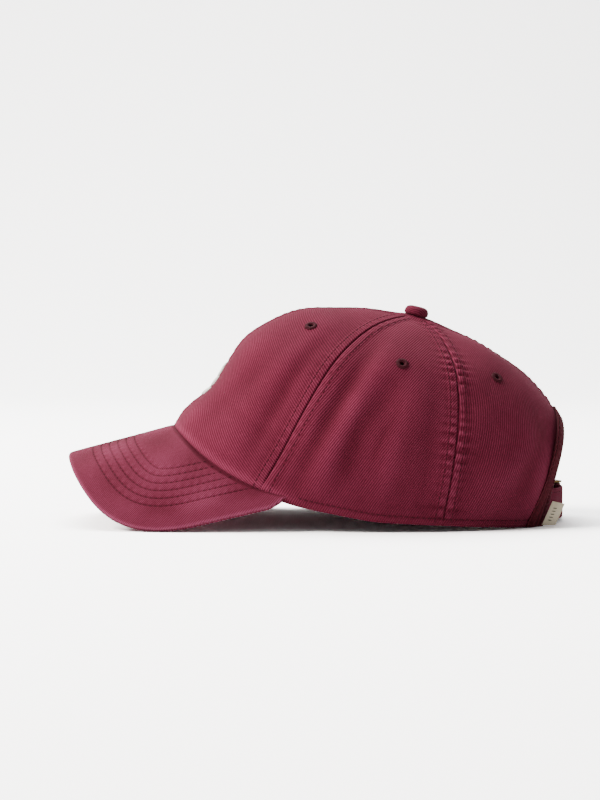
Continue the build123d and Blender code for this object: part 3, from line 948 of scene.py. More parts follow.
@dataclass(frozen=True)
class PlainWeave(Finish):
    """Plain-woven cotton or damask: square over-and-under threads, dull and even to the eye.

    Real threads are about 0.3 mm apart, too fine to show, so they are drawn about twice as coarse.
    """

    name: str = "plain_woven_cotton"
    base: str = "#6d2031"
    deep: str = "#3f0f19"
    thread: float = 0.7
    roughness: float = 0.88

    def build(self, tree: bpy.types.NodeTree, shader: bpy.types.Node) -> None:
        """Two crossed waves, one for each set of threads, multiplied into small squares.

        Args:
            tree: the material's node tree.
            shader: its Principled shader.
        """
        cloth = add(tree, "UVMap", {"uv_map": "cloth"}).outputs["UV"]
        scale = wave_scale(self.thread)
        warp = add(tree, "TexWave", {"bands_direction": "X"}, Vector=cloth, Scale=scale, Distortion=0.6)
        weft = add(tree, "TexWave", {"bands_direction": "Y"}, Vector=cloth, Scale=scale, Distortion=0.6)
        both = {"_0": warp.outputs["Fac"], "_1": weft.outputs["Fac"]}
        squares = add(tree, "Math", {"operation": "MULTIPLY"}, **both).outputs[0]
        solid = add(tree, "TexCoord").outputs["Object"]
        clouds = add(tree, "TexNoise", Vector=solid, Scale=60.0, Detail=4.0).outputs["Fac"]
        tone = add(tree, "Math", {"operation": "MULTIPLY_ADD"}, _0=squares, _1=0.5, _2=clouds).outputs[0]
        colour = add(tree, "ValToRGB", stops=((0.35, self.deep), (0.9, self.base)), Fac=tone)
        relief = add(tree, "Bump", Strength=0.5, Distance=0.15 * MM, Height=squares)
        self.join(tree, shader, colour, relief)
        shader.inputs["Roughness"].default_value = self.roughness
        shader.inputs["Specular IOR Level"].default_value = 0.15


@dataclass(frozen=True)
class SatinStitch(Finish):
    """Dense satin-stitch embroidery in white rayon: fine glossy ridges side by side."""

    name: str = "white_satin_stitch"
    base: str = "#e9e5dd"
    deep: str = "#b9b3a8"
    ridge: float = 0.42

    def build(self, tree: bpy.types.NodeTree, shader: bpy.types.Node) -> None:
        """Ridges across each leaf, one for each laid thread.

        Args:
            tree: the material's node tree.
            shader: its Principled shader.
        """
        cloth = add(tree, "UVMap", {"uv_map": "cloth"}).outputs["UV"]
        ridges = add(
            tree, "TexWave", {"bands_direction": "X"}, Vector=cloth,
            Scale=wave_scale(self.ridge), Distortion=0.5,
        ).outputs["Fac"]
        colour = add(tree, "ValToRGB", stops=((0.0, self.deep), (0.6, self.base)), Fac=ridges)
        relief = add(tree, "Bump", Strength=0.8, Distance=0.1 * MM, Height=ridges)
        self.join(tree, shader, colour, relief)
        shader.inputs["Roughness"].default_value = 0.42
        shader.inputs["Sheen Weight"].default_value = 0.2


@dataclass(frozen=True)
class Moulded(Finish):
    """Moulded plastic, foam or metal in one colour with a grain of a stated size.

    The grain is what the mould, the foaming or the brushing left; the clouds are handling.
    A real grain is 0.1 to 0.5 mm, too fine to show, so each is drawn a few times as coarse.
    """

    name: str = "moulded"
    base: str = "#202224"
    deep: str = "#121314"
    grain: float = 0.6
    depth: float = 0.05
    roughness: float = 0.5
    metallic: float = 0.0
    cells: bool = False

    def build(self, tree: bpy.types.NodeTree, shader: bpy.types.Node) -> None:
        """A cell or noise pattern for the grain, and slow clouds in colour and gloss.

        Args:
            tree: the material's node tree.
            shader: its Principled shader.
        """
        solid = add(tree, "TexCoord").outputs["Object"]
        scale = 1.0 / (self.grain * MM)
        if self.cells:
            grain = add(tree, "TexVoronoi", Vector=solid, Scale=scale).outputs["Distance"]
        else:
            grain = add(tree, "TexNoise", Vector=solid, Scale=scale, Detail=3.0).outputs["Fac"]
        clouds = add(tree, "TexNoise", Vector=solid, Scale=70.0, Detail=5.0).outputs["Fac"]
        tone = add(tree, "Math", {"operation": "MULTIPLY_ADD"}, _0=grain, _1=0.35, _2=clouds).outputs[0]
        colour = add(tree, "ValToRGB", stops=((0.4, self.deep), (0.9, self.base)), Fac=tone)
        low, high = self.roughness - 0.1, self.roughness + 0.1
        gloss = add(tree, "MapRange", Value=clouds, To_Min=low, To_Max=high)
        tree.links.new(gloss.outputs["Result"], shader.inputs["Roughness"])
        relief = add(tree, "Bump", Strength=0.6, Distance=self.depth * MM, Height=grain)
        self.join(tree, shader, colour, relief)
        shader.inputs["Metallic"].default_value = self.metallic


TWILL = WashedTwill()
BRIM_TWILL = WashedTwill("washed_brim_twill", "#5c162b", "#87405a", rib=0.75, strength=0.3)
BINDING_TWILL = WashedTwill("washed_bias_binding", "#3f0913", "#5f1d2b", "#2a060d", rib=0.8)
THREAD_FINISH = SpunThread()
EYELET_THREAD = SpunThread(name="buttonhole_thread", base="#470f1d", deep="#2a070f")
TAPE = PlainWeave(name="woven_seam_tape", base="#521623", deep="#320a13", thread=0.9)
SWEATBAND = PlainWeave(name="cotton_sweatband", base="#5e1a2a", deep="#3a0d17", thread=0.8)
LABEL = PlainWeave(name="damask_label", base="#d8cdb6", deep="#a99c83", thread=0.5, roughness=0.7)
LABEL_INK = SpunThread(name="label_thread", base="#3b4a38", deep="#252f24", ply=0.3)
SATIN = SatinStitch()
BRASS = Moulded("antique_brass", "#6f5a38", "#3c2f1b", 1.2, 0.02, 0.36, 1.0)
STEEL = Moulded("pressed_steel", "#9a9a98", "#6f6f6d", 0.8, 0.02, 0.34, 1.0)
ABS = Moulded("moulded_abs", "#1d1f21", "#101112", 0.7, 0.04, 0.42)
FOAM = Moulded("eva_foam", "#3a3c40", "#222326", 1.1, 0.18, 0.85, 0.0, True)
BOARD = Moulded("moulded_polyethylene", "#dcdad2", "#bdbab0", 1.5, 0.03, 0.5)
HOOKS = Moulded("hook_and_loop_tape", "#26272a", "#0f1011", 0.9, 0.5, 0.92, 0.0, True)


# ---- the crown
def spread(start: float, end: float, count: int, ends: float) -> Array:
    """Spaces numbers by a line less a sine, so that they crowd at both ends."""
    t = np.linspace(0.0, 1.0, count)
    lean = (ends - 1.0) / (ends + 1.0)
    return start + (end - start) * (t - lean * np.sin(2 * math.pi * t) / (2 * math.pi))


@dataclass
class Crown:
    """Six panels, their seam tapes and topstitching, and the turned hem."""

    thickness: float = 0.9
    columns: int = 112
    rows: int = 196
    row_offset: float = FORM.stitch_row
    apex_hole: float = 3.0
    arch_share: float = 0.47
    tape_half_width: float = 7.0
    eyelets: dict[str, tuple[float, float]] = field(
        default_factory=lambda: {"front": (37.0, 0.625), "side": (85.3, 0.604), "rear": (132.6, 0.626)}
    )
    hole: float = 2.1
    spans: dict[str, tuple[float, float, float]] = field(
        default_factory=lambda: {
            "front": (0.0, 60.8, 66.0), "side": (60.8, 108.7, -17.0), "rear": (108.7, 180.0, -20.0)
        }
    )
    thread: Thread = Thread()

    def top_share(self, angle: Array) -> Array:
        """The share at which the panel ends round the button's rivet."""
        table = np.linspace(0.9, 1.0, 60)
        reach = FORM.apex_distance(FORM.base(angle[:, None], table[None, :]))
        return np.array([np.interp(-self.apex_hole, -row, table) for row in reach])

    def lower_path(self, start: float, end: float) -> tuple[Array, Array]:
        """Angle and share along a panel's lower edge: the hem, then the opening's edge.

        Args:
            start: the panel's first angle, in degrees.
            end: its last angle.

        Returns:
            Angle and share of the path's points.
        """
        fine = np.radians(np.linspace(start, end, 600))
        hem = FORM.hem(fine)
        open_ = (np.abs(hem[:, 0]) < FORM.arch_half_width) & (hem[:, 1] > FORM.head_y)
        angle, share = fine[~open_], np.zeros((~open_).sum())
        if open_.any():
            side = math.copysign(1.0, start + end)
            turn = np.linspace(0.0, math.pi / 2, 260)
            x = side * FORM.arch_half_width * np.cos(turn)
            z = np.maximum(FORM.arch_height * np.sin(turn), 0.12)
            arch_angle, arch_share = FORM.locate(x, z)
            if side < 0:
                angle = np.concatenate([arch_angle[::-1] - 2 * math.pi, angle])
                share = np.concatenate([arch_share[::-1], share])
            else:
                angle = np.concatenate([angle, arch_angle])
                share = np.concatenate([share, arch_share])
        run = arc_length(FORM.base(angle, share))
        marks = spread(0.0, run[-1], self.columns, 2.6)
        return np.interp(marks, run, angle), np.maximum(np.interp(marks, run, share), 0.0)

    def panel(self, where: str, side: Side) -> bpy.types.Object:
        """One panel: straight lines in (angle, share) from its lower edge to the apex.

        Args:
            where: front, side or rear.
            side: the wearer's left or right.

        Returns:
            The piece.
        """
        start, end, grain = self.spans[where]
        low, high = sorted((side.value * start, side.value * end))
        foot_angle, foot_share = self.lower_path(low, high)
        head_angle = np.radians(spread(low, high, self.columns, 1.6))
        head_share = self.top_share(head_angle)
        rise = np.linspace(0.0, 1.0, self.rows)[:, None]
        angle = foot_angle * (1 - rise) + head_angle * rise
        share = foot_share * (1 - rise) + head_share * rise
        angle[:, 0], angle[:, -1] = math.radians(low), math.radians(high)
        base = FORM.base(angle, share)
        lift = FORM.relief(angle, share, base)
        normal = FORM.normal(angle, share)
        outer = base + normal * lift[..., None]
        inner = base + normal * (lift * 0.85 - self.thickness)[..., None]
        inner[..., 2] = np.maximum(inner[..., 2], 0.02)
        outer[..., 2] = np.maximum(outer[..., 2], 0.02)
        eye_angle, eye_share = self.eyelets[where]
        centre = FORM.surface(np.array(side.value * math.radians(eye_angle)), np.array(eye_share))
        cells = (base[1:, 1:] + base[:-1, :-1]) / 2
        keep = np.linalg.norm(cells - centre, axis=-1) > self.hole
        centre_line = math.radians((low + high) / 2)
        middle = FORM.base(np.full_like(share, centre_line), share)
        across = np.sign(angle - centre_line) * np.linalg.norm(base - middle, axis=-1)
        up = FORM.height_on(centre_line, share)
        turn = math.radians(grain)
        u = (across * math.cos(turn) + up * math.sin(turn)) * MM
        v = (up * math.cos(turn) - across * math.sin(turn)) * MM
        cloth = np.stack([u, v], axis=-1)
        piece = sheet_piece(f"cloth_{where}_{side.word}", outer, inner, cloth, self.wear(lift), keep)
        return dress(piece, TWILL, nodes=(f"panel_{where}_{side.word}",))

    def wear(self, lift: Array) -> Array:
        """Rubbing and painted light: the height of a point over the average of its neighbourhood, so
        hollows get painted shade and ridges are painted paler, partly rubbed and partly painted highlight.

        Args:
            lift: (R, C) height of the cloth over the smooth crown.

        Returns:
            Painted shade in hollows down to -1, rubbing and painted highlight on ridges up to 1.
        """
        wide = lift.copy()
        for _ in range(14):
            padded = np.pad(wide, 1, mode="edge")
            wide = (padded[2:, 1:-1] + padded[:-2, 1:-1] + padded[1:-1, 2:] + padded[1:-1, :-2]) / 4
        return np.clip((lift - wide) * 2.2, -1.0, 1.0)

    def seam_row(self, seam: Seam, offset: float, bottom: float, top: float) -> Array:
        """Places a stitch row beside a seam.

        Args:
            seam: the seam.
            offset: distance from it; a negative one is on its other side.
            bottom: share at which the row starts.
            top: share at which it ends.

        Returns:
            (N, 6) places and normals.
        """
        share = np.linspace(bottom, top, 260)
        angle = FORM.beside(seam.angle, offset, share)
        height = self.thread.width * 0.45
        return np.concatenate([FORM.surface(angle, share, height), FORM.normal(angle, share)], axis=-1)

    def topstitching(self) -> bpy.types.Object:
        """Two rows beside every seam, and one round the hem.

        Returns:
            The piece.
        """
        rows = []
        for seam in FORM.seams:
            bottom = 0.012 if abs(seam.angle) < 170 else self.arch_share
            for way in (-1, 1):
                rows.append(self.seam_row(seam, way * self.row_offset, bottom, 0.93))
        for side in Side:
            angle = np.radians(np.linspace(72.0, 147.0, 300)) * side.value
            share = np.full_like(angle, 0.026)
            place = FORM.surface(angle, share, self.thread.width * 0.45)
            rows.append(np.concatenate([place, FORM.normal(angle, share)], axis=-1))
        return dress(self.thread.follow("crown_topstitching", rows), THREAD_FINISH)

    def tape(self, seam: Seam) -> bpy.types.Object:
        """A woven tape over a seam's raw edges, inside the crown, with a raised selvedge.

        Args:
            seam: the seam that it covers.

        Returns:
            The piece.
        """
        bottom = self.arch_share if seam.angle == 180.0 else 0.01
        share = np.linspace(bottom, 0.80, 160)
        across = np.linspace(-1.0, 1.0, 15)
        offsets = np.where(across == 0, 1e-6, across * self.tape_half_width)
        angle = np.stack([FORM.beside(seam.angle, float(offset), share) for offset in offsets], axis=-1)
        grid = np.broadcast_to(share[:, None], angle.shape)
        crown = 0.15 * np.cos(np.pi * across / 2)[None, :]
        outer = FORM.within(angle, grid, self.thickness + 0.05)
        inner = FORM.within(angle, grid, self.thickness + 0.6 + crown)
        run = FORM.height_on(math.radians(seam.angle), share)
        uv = np.stack(np.broadcast_arrays(across * self.tape_half_width, run[:, None]), axis=-1) * MM
        node = "seam_tape_" + seam.name
        return dress(sheet_piece("woven_" + node, outer, inner, uv), TAPE, nodes=(node,))

    def build(self) -> None:
        """All of the crown's cloth."""
        for where in self.spans:
            for side in Side:
                self.panel(where, side)
        self.topstitching()
        for seam in FORM.seams:
            self.tape(seam)


@dataclass
class Eyelets:
    """Embroidered ventilation eyelets: a ring of buttonhole stitches round a real hole."""

    radius: float = 3.55
    bore: float = 1.25
    spokes: int = 30
    places: dict[str, tuple[float, float]] = field(default_factory=lambda: Crown().eyelets)
    stitch: Thread = Thread(length=2.5, width=0.78)

    def profile(self) -> tuple[Array, Array]:
        """Radius and height of the ring's section, from outside edge over to inside flange.

        Returns:
            The radii and the heights.
        """
        section = np.array([
            (3.55, -0.2), (3.5, 0.12), (3.2, 0.38), (2.6, 0.5), (2.0, 0.5), (1.55, 0.35), (1.28, 0.0),
            (1.22, -0.8), (1.3, -1.5), (1.9, -1.75), (2.7, -1.7), (3.0, -1.5), (2.9, -1.3), (2.4, -1.2),
            (2.3, -0.3),
        ])
        return section[:, 0], section[:, 1]

    def build(self) -> None:
        """One ring with its stitches for each panel."""
        for where, (angle, share) in self.places.items():
            for side in Side:
                self.eyelet(f"eyelet_{where}_{side.word}", side.value * math.radians(angle), share)

    def eyelet(self, name: str, angle: float, share: float) -> None:
        """The ring is its section turned about the crown's normal; the stitches lie radially.

        Args:
            name: the CAD node's name.
            angle: angle of its middle.
            share: share of its middle.
        """
        centre = FORM.surface(np.array(angle), np.array(share))
        out = FORM.normal(np.array(angle), np.array(share))
        right = unit(np.cross(np.array([0.0, 0.0, 1.0]), out))
        up = np.cross(out, right)
        radius, height = self.profile()
        columns = 48
        turn = np.linspace(0.0, 2 * math.pi, columns, endpoint=False)
        spoke = np.cos(turn)[:, None] * right + np.sin(turn)[:, None] * up
        rough = 1.0 + 0.03 * np.sin(15 * turn)
        grid = centre + spoke[None] * (radius[:, None] * rough)[..., None] + out * height[:, None, None]
        faces = tube_faces(len(radius) + 1, columns) % (len(radius) * columns)
        piece = write_mesh("ring_" + name, grid.reshape(-1, 3), faces, wear=np.zeros(len(radius) * columns))
        dress(piece, EYELET_THREAD, nodes=(name,))
        marks = (np.arange(self.spokes) + 0.5) * 2 * math.pi / self.spokes
        way = np.cos(marks)[:, None] * right + np.sin(marks)[:, None] * up
        reach = (self.radius + self.bore) / 2 + 0.12 * np.sin(marks * 7)
        seats = centre + way * reach[:, None] + out * 0.42
        lay = np.tile(out, (self.spokes, 1))
        sewn = self.stitch.sew("stitches_" + name, seats, way, lay)
        dress(sewn, EYELET_THREAD)


@dataclass
class Button:
    """The cloth-covered button that closes the six panels at the top."""

    radius: float = 6.95
    height: float = 4.3

    def build(self) -> None:
        """A dome: the radius falls as a superellipse of the height, with a tucked rim."""
        apex = FORM.apex()
        axis = np.array([0.0, math.sin(FORM.tilt), math.cos(FORM.tilt)])
        right = np.array([1.0, 0.0, 0.0])
        up = np.cross(axis, right)
        t = np.linspace(0.0, math.pi / 2, 26)
        low = np.array([[0.04, -0.9], [3.0, -0.9], [5.6, -0.9], [6.3, -0.7], [6.75, -0.2]])
        dome = np.stack([self.radius * np.cos(t) ** 0.5, self.height * np.sin(t) ** 0.8 + 0.25], axis=-1)
        dome[-1, 0] = 0.04
        section = np.concatenate([low, dome])
        columns = 72
        turn = np.linspace(0.0, 2 * math.pi, columns, endpoint=False)
        spoke = np.cos(turn)[:, None] * right + np.sin(turn)[:, None] * up
        gather = 0.05 * np.sin(16 * turn)[None, :] * bump(section[:, 1], 0.2, 0.9)[:, None]
        radius = section[:, 0:1] * (1 + gather / self.radius)
        points = apex + spoke[None] * radius[..., None] + axis * section[:, 1][:, None, None]
        number = np.arange(len(section) * columns).reshape(-1, columns)
        faces = tube_faces(len(section), columns)
        flat = np.concatenate([points.reshape(-1, 3), points[:1].mean(1), points[-1:].mean(1)])
        foot, head = len(flat) - 2, len(flat) - 1
        ring, after = number[0].reshape(-1, 2), np.roll(number[0], -1)[1::2]
        caps = np.stack([ring[:, 0], np.full(columns // 2, foot), after, ring[:, 1]], axis=-1)
        top, after = number[-1].reshape(-1, 2), np.roll(number[-1], -1)[1::2]
        lids = np.stack([top[:, 0], top[:, 1], after, np.full(columns // 2, head)], axis=-1)
        run = arc_length(section[::-1])[::-1, None]
        uv = np.stack([run * np.cos(turn), run * np.sin(turn)], axis=-1).reshape(-1, 2)
        uv = np.concatenate([uv, np.zeros((2, 2))]) * MM
        wear = np.zeros(len(flat))
        piece = write_mesh("covered_button", flat, np.concatenate([faces, caps, lids]), uv, wear)
        dress(piece, TWILL, nodes=("button_cover",))


# ---- the brim
@dataclass
class Brim:
    """A stiff board between two cloth covers, with six rows of stitching."""

    half_width: float = FORM.brim_half_width
    roundness: float = 2.5
    shoulder: float = 93.9
    corner: float = 39.0
    thickness: float = 3.6
    bend: float = 0.72
    bias: float = math.radians(28.0)
    root_reach: float = 71.4
    first_row: float = 14.2
    row_pitch: float = 4.9
    groove: float = 0.26
    rows: int = 6
    columns: int = 301
    steps: int = 150
    thread: Thread = Thread(length=2.1, pitch=3.0, width=0.34)

    def rim(self, share: Array) -> Array:
        """The free edge in plan: a superellipse in front and a straight run to each corner.

        Args:
            share: from -1 at the right corner to 1 at the left.

        Returns:
            (N, 2) places in plan.
        """
        shoulder_y, tip_y = FORM.head_y - self.shoulder, FORM.head_y - FORM.tip
        side = np.sign(share)
        part = np.clip(np.abs(share) / self.bend, 0.0, 1.0)
        s, c = FORM.superellipse(part * math.pi / 2, self.roundness)
        c = np.where(part >= 1.0, 0.0, c)
        run = np.clip((np.abs(share) - self.bend) / (1 - self.bend), 0.0, 1.0)
        y = shoulder_y - (shoulder_y - tip_y) * c + run * (self.shoulder - self.corner)
        rim = np.stack([side * self.half_width * s, y], axis=-1)
        close = 0.97 * smooth(0.92, 1.0, np.abs(share))[..., None] ** 1.3
        return rim * (1 - close) + self.root(share) * close

    def root(self, share: Array) -> Array:
        """The edge tucked between the crown's cloth and the sweatband, 1.1 mm inside the hem.

        Args:
            share: from -1 at the right corner to 1 at the left.

        Returns:
            (N, 2) places in plan.
        """
        angle = np.abs(share) * math.radians(self.root_reach)
        hem, ahead = FORM.hem(angle), FORM.hem(angle + 1e-3)
        along = unit((ahead - hem)[..., :2])
        place = hem[..., :2] + np.stack([-along[..., 1], along[..., 0]], axis=-1) * 1.1
        return np.stack([np.sign(share + 1e-12) * place[..., 0], place[..., 1]], axis=-1)

    def plan(self) -> Array:
        """Places in plan from the root (row 0) to the rim, in straight lines.

        Returns:
            (steps, columns, 2) places.
        """
        fine = np.linspace(-1.0, 1.0, 2401)
        run = arc_length(self.rim(fine))
        share = np.interp(np.linspace(0.0, run[-1], self.columns), run, fine)
        t = np.linspace(0.0, 1.0, self.steps)[:, None]
        t = (1 - (1 - t) ** 1.15)[..., None]
        return self.root(share)[None] * (1 - t) + self.rim(share)[None] * t

    def distance(self, plan: Array, line: Array) -> Array:
        """Straight distance of each place on the brim's top from a line of places on it.

        Args:
            plan: places in plan.
            line: (N, 2) places in plan of the line.

        Returns:
            The distances.
        """
        solid = np.concatenate([plan, self.top(plan)[..., None]], axis=-1).reshape(-1, 3)
        target = np.concatenate([line, self.top(line)[..., None]], axis=-1)
        best = np.full(len(solid), 1e9)
        for part in np.array_split(target, 16):
            gap = solid[:, None, :] - part[None, :, :]
            best = np.minimum(best, np.sqrt((gap**2).sum(-1)).min(axis=1))
        return best.reshape(plan.shape[:-1])

    def edge_distance(self, plan: Array) -> Array:
        """Distance of each place from the free edge, along the cloth."""
        return self.distance(plan, self.rim(np.linspace(-1.0, 1.0, 700)))

    def root_distance(self, plan: Array) -> Array:
        """Distance of each place from the seam with the crown."""
        return self.distance(plan, self.root(np.linspace(-1.0, 1.0, 400)))

    def top(self, plan: Array) -> Array:
        """The brim's top: fuller in its middle than the plain curl and limper at its corners.

        1.8 (1 - r^2) is added and 2.2 is taken away in a bell at each front corner, where r
        is |x| over the half width; both fade out at the crown. The rear ends lift by up to
        1.7, in proportion to the way back from the widest part.

        Args:
            plan: places in plan.

        Returns:
            The heights.
        """
        x, y = plan[..., 0], plan[..., 1]
        r = np.abs(x) / self.half_width
        full = 1.8 * (1 - r**2) * (1 - smooth(FORM.head_y - 112.0, FORM.head_y - 84.0, y))
        limp = 2.2 * smooth(0.45, 0.85, r) * bump(y, FORM.head_y - 146.0, 26.0)
        raised = 1.7 * np.clip((y - FORM.head_y + 93.0) / 54.0, 0.0, 1.0) * smooth(0.5, 0.9, r)
        return FORM.brim_top(x, y) + full - limp + raised

    def depths(self) -> Array:
        """Distance of every stitch row from the free edge."""
        return self.first_row + self.row_pitch * np.arange(self.rows)

    def quilting(self, plan: Array, distance: Array, root: Array) -> Array:
        """Grooves along the stitch rows and soft puckers between them.

        Each groove is a narrow bell in the distance from the edge; the puckers are sines
        along the rows, out of step from row to row, strongest between the rows.

        Args:
            plan: places in plan.
            distance: distance of each from the free edge.
            root: distance of each from the seam with the crown.

        Returns:
            The height, outwards.
        """
        angle = np.arctan2(plan[..., 0], FORM.head_y - 60.0 - plan[..., 1])
        run = angle * 62.0
        total = np.zeros_like(distance)
        for i, depth in enumerate(self.depths()):
            total -= self.groove * bump(distance, float(depth), 0.5)
            ripple = np.sin(2 * math.pi * run / 3.4 + 2.1 * i + 0.8 * np.sin(run / 9.0 + i))
            total += 0.10 * ripple * bump(distance, float(depth) + 1.3, 1.1)
        ends = smooth(1.5, 8.0, root)
        tuck = 1.2 * (1 - smooth(0.0, 3.6, root))
        wash = 0.18 * np.sin(plan[..., 0] / 7.0 + 1.0) * np.sin(plan[..., 1] / 8.0)
        return total * ends - tuck + wash * smooth(4.0, 12.0, distance)

    def cover(self, upper: bool) -> bpy.types.Object:
        """One cover: its face, rounded over at the rim to meet the other at mid-thickness.

        Args:
            upper: True for the top cover.

        Returns:
            The piece.
        """
        plan = self.plan()
        distance, root = self.edge_distance(plan), self.root_distance(plan)
        half = self.thickness / 2
        middle = self.top(plan) - half
        point = np.concatenate([plan, middle[..., None]], axis=-1)
        right = np.gradient(point, axis=1)
        outward = np.gradient(point, axis=0)
        normal = unit(np.cross(outward, right))
        normal *= np.sign(normal[..., 2:3])
        lip = np.clip(distance / half, 0.0, 1.0)
        fat = half * (0.66 + 0.34 * np.sqrt(np.maximum(1 - (1 - lip) ** 2, 0.0)))
        lift = fat + self.quilting(plan, distance, root)
        way = 1.0 if upper else -1.0
        face = point + normal * (way * lift)[..., None]
        back = point + normal * (way * 0.02)
        for side in (face, back):
            side[..., 2] = np.maximum(side[..., 2], 0.02)
        # Rubbed paler at the free edge; painted shade in the stitch grooves, and puckers painted paler,
        # partly rubbing and partly painted highlight.
        edge_wear_and_shading = 1.5 * bump(distance, 0.0, 1.1) + np.clip((lift - fat) * 2.6, -0.8, 0.6)
        cos, sin = math.cos(self.bias), math.sin(self.bias)
        cloth = plan @ np.array([[cos, -sin], [sin, cos]]) * MM
        flip = slice(None, None, -1) if upper else slice(None)
        word = "upper" if upper else "lower"
        piece = sheet_piece(f"brim_cloth_{word}", face[flip], back[flip], cloth[flip], edge_wear_and_shading[flip])
        return dress(piece, BRIM_TWILL, nodes=(f"brim_{word}_cover",))

    def stitching(self) -> bpy.types.Object:
        """Stitch rows on both faces: lines of equal distance from the free edge.

        Returns:
            The piece.
        """
        share = np.linspace(-0.985, 0.985, 1200)
        rim, root = self.rim(share), self.root(share)
        t = np.linspace(0.0, 1.0, 90)
        line = rim[:, None] * (1 - t)[None, :, None] + root[:, None] * t[None, :, None]
        distance = self.edge_distance(line)
        rows = []
        for depth in self.depths():
            reach = distance.max(axis=1) > depth + 1.0
            place = np.array([np.interp(depth, np.maximum.accumulate(d), t) for d in distance[reach]])
            plan = rim[reach] * (1 - place)[:, None] + root[reach] * place[:, None]
            for way in (1.0, -1.0):
                step = 0.05
                z = self.top(plan)
                dx = (self.top(plan + [step, 0.0]) - z) / step
                dy = (self.top(plan + [0.0, step]) - z) / step
                out = unit(np.stack([-dx, -dy, np.ones_like(dx)], axis=-1))
                middle = np.concatenate([plan, (z - self.thickness / 2)[:, None]], axis=-1)
                lift = self.thickness / 2 - self.groove + self.thread.width * 0.5
                rows.append(np.concatenate([middle + out * way * lift, out * way], axis=-1))
        return dress(self.thread.follow("brim_stitching", rows), THREAD_FINISH)

    def board(self) -> None:
        """The stiffening board: the brim's plan drawn in from its edges, flat-sided."""
        reach = np.linspace(-1.0, 1.0, 121)
        ease = 1 - 0.15 * np.abs(reach) ** 6
        t = np.linspace(0.06, 0.945, 40)[:, None, None]
        plan = self.root(reach * ease)[None] * (1 - t) + self.rim(reach * ease)[None] * t
        top = self.top(plan) - 0.85
        upper = np.concatenate([plan, top[..., None]], axis=-1)
        lower = np.concatenate([plan, (top - 1.9)[..., None]], axis=-1)
        piece = sheet_piece("stiffening_board", upper[::-1], lower[::-1])
        dress(piece, BOARD, nodes=("brim_board",))

    def build(self) -> None:
        """The two covers, their stitching, and the board between them."""
        self.cover(True)
        self.cover(False)
        self.stitching()
        self.board()


def paint(node: str, finish: Finish) -> None:
    """Gives a carried-over CAD node its material.

    Args:
        node: the CAD node's name.
        finish: its finish.
    """
    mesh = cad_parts[node].data
    mesh.materials.clear()
    mesh.materials.append(finish.material())
    LOG.info("%s: painted %s", node, finish.name)


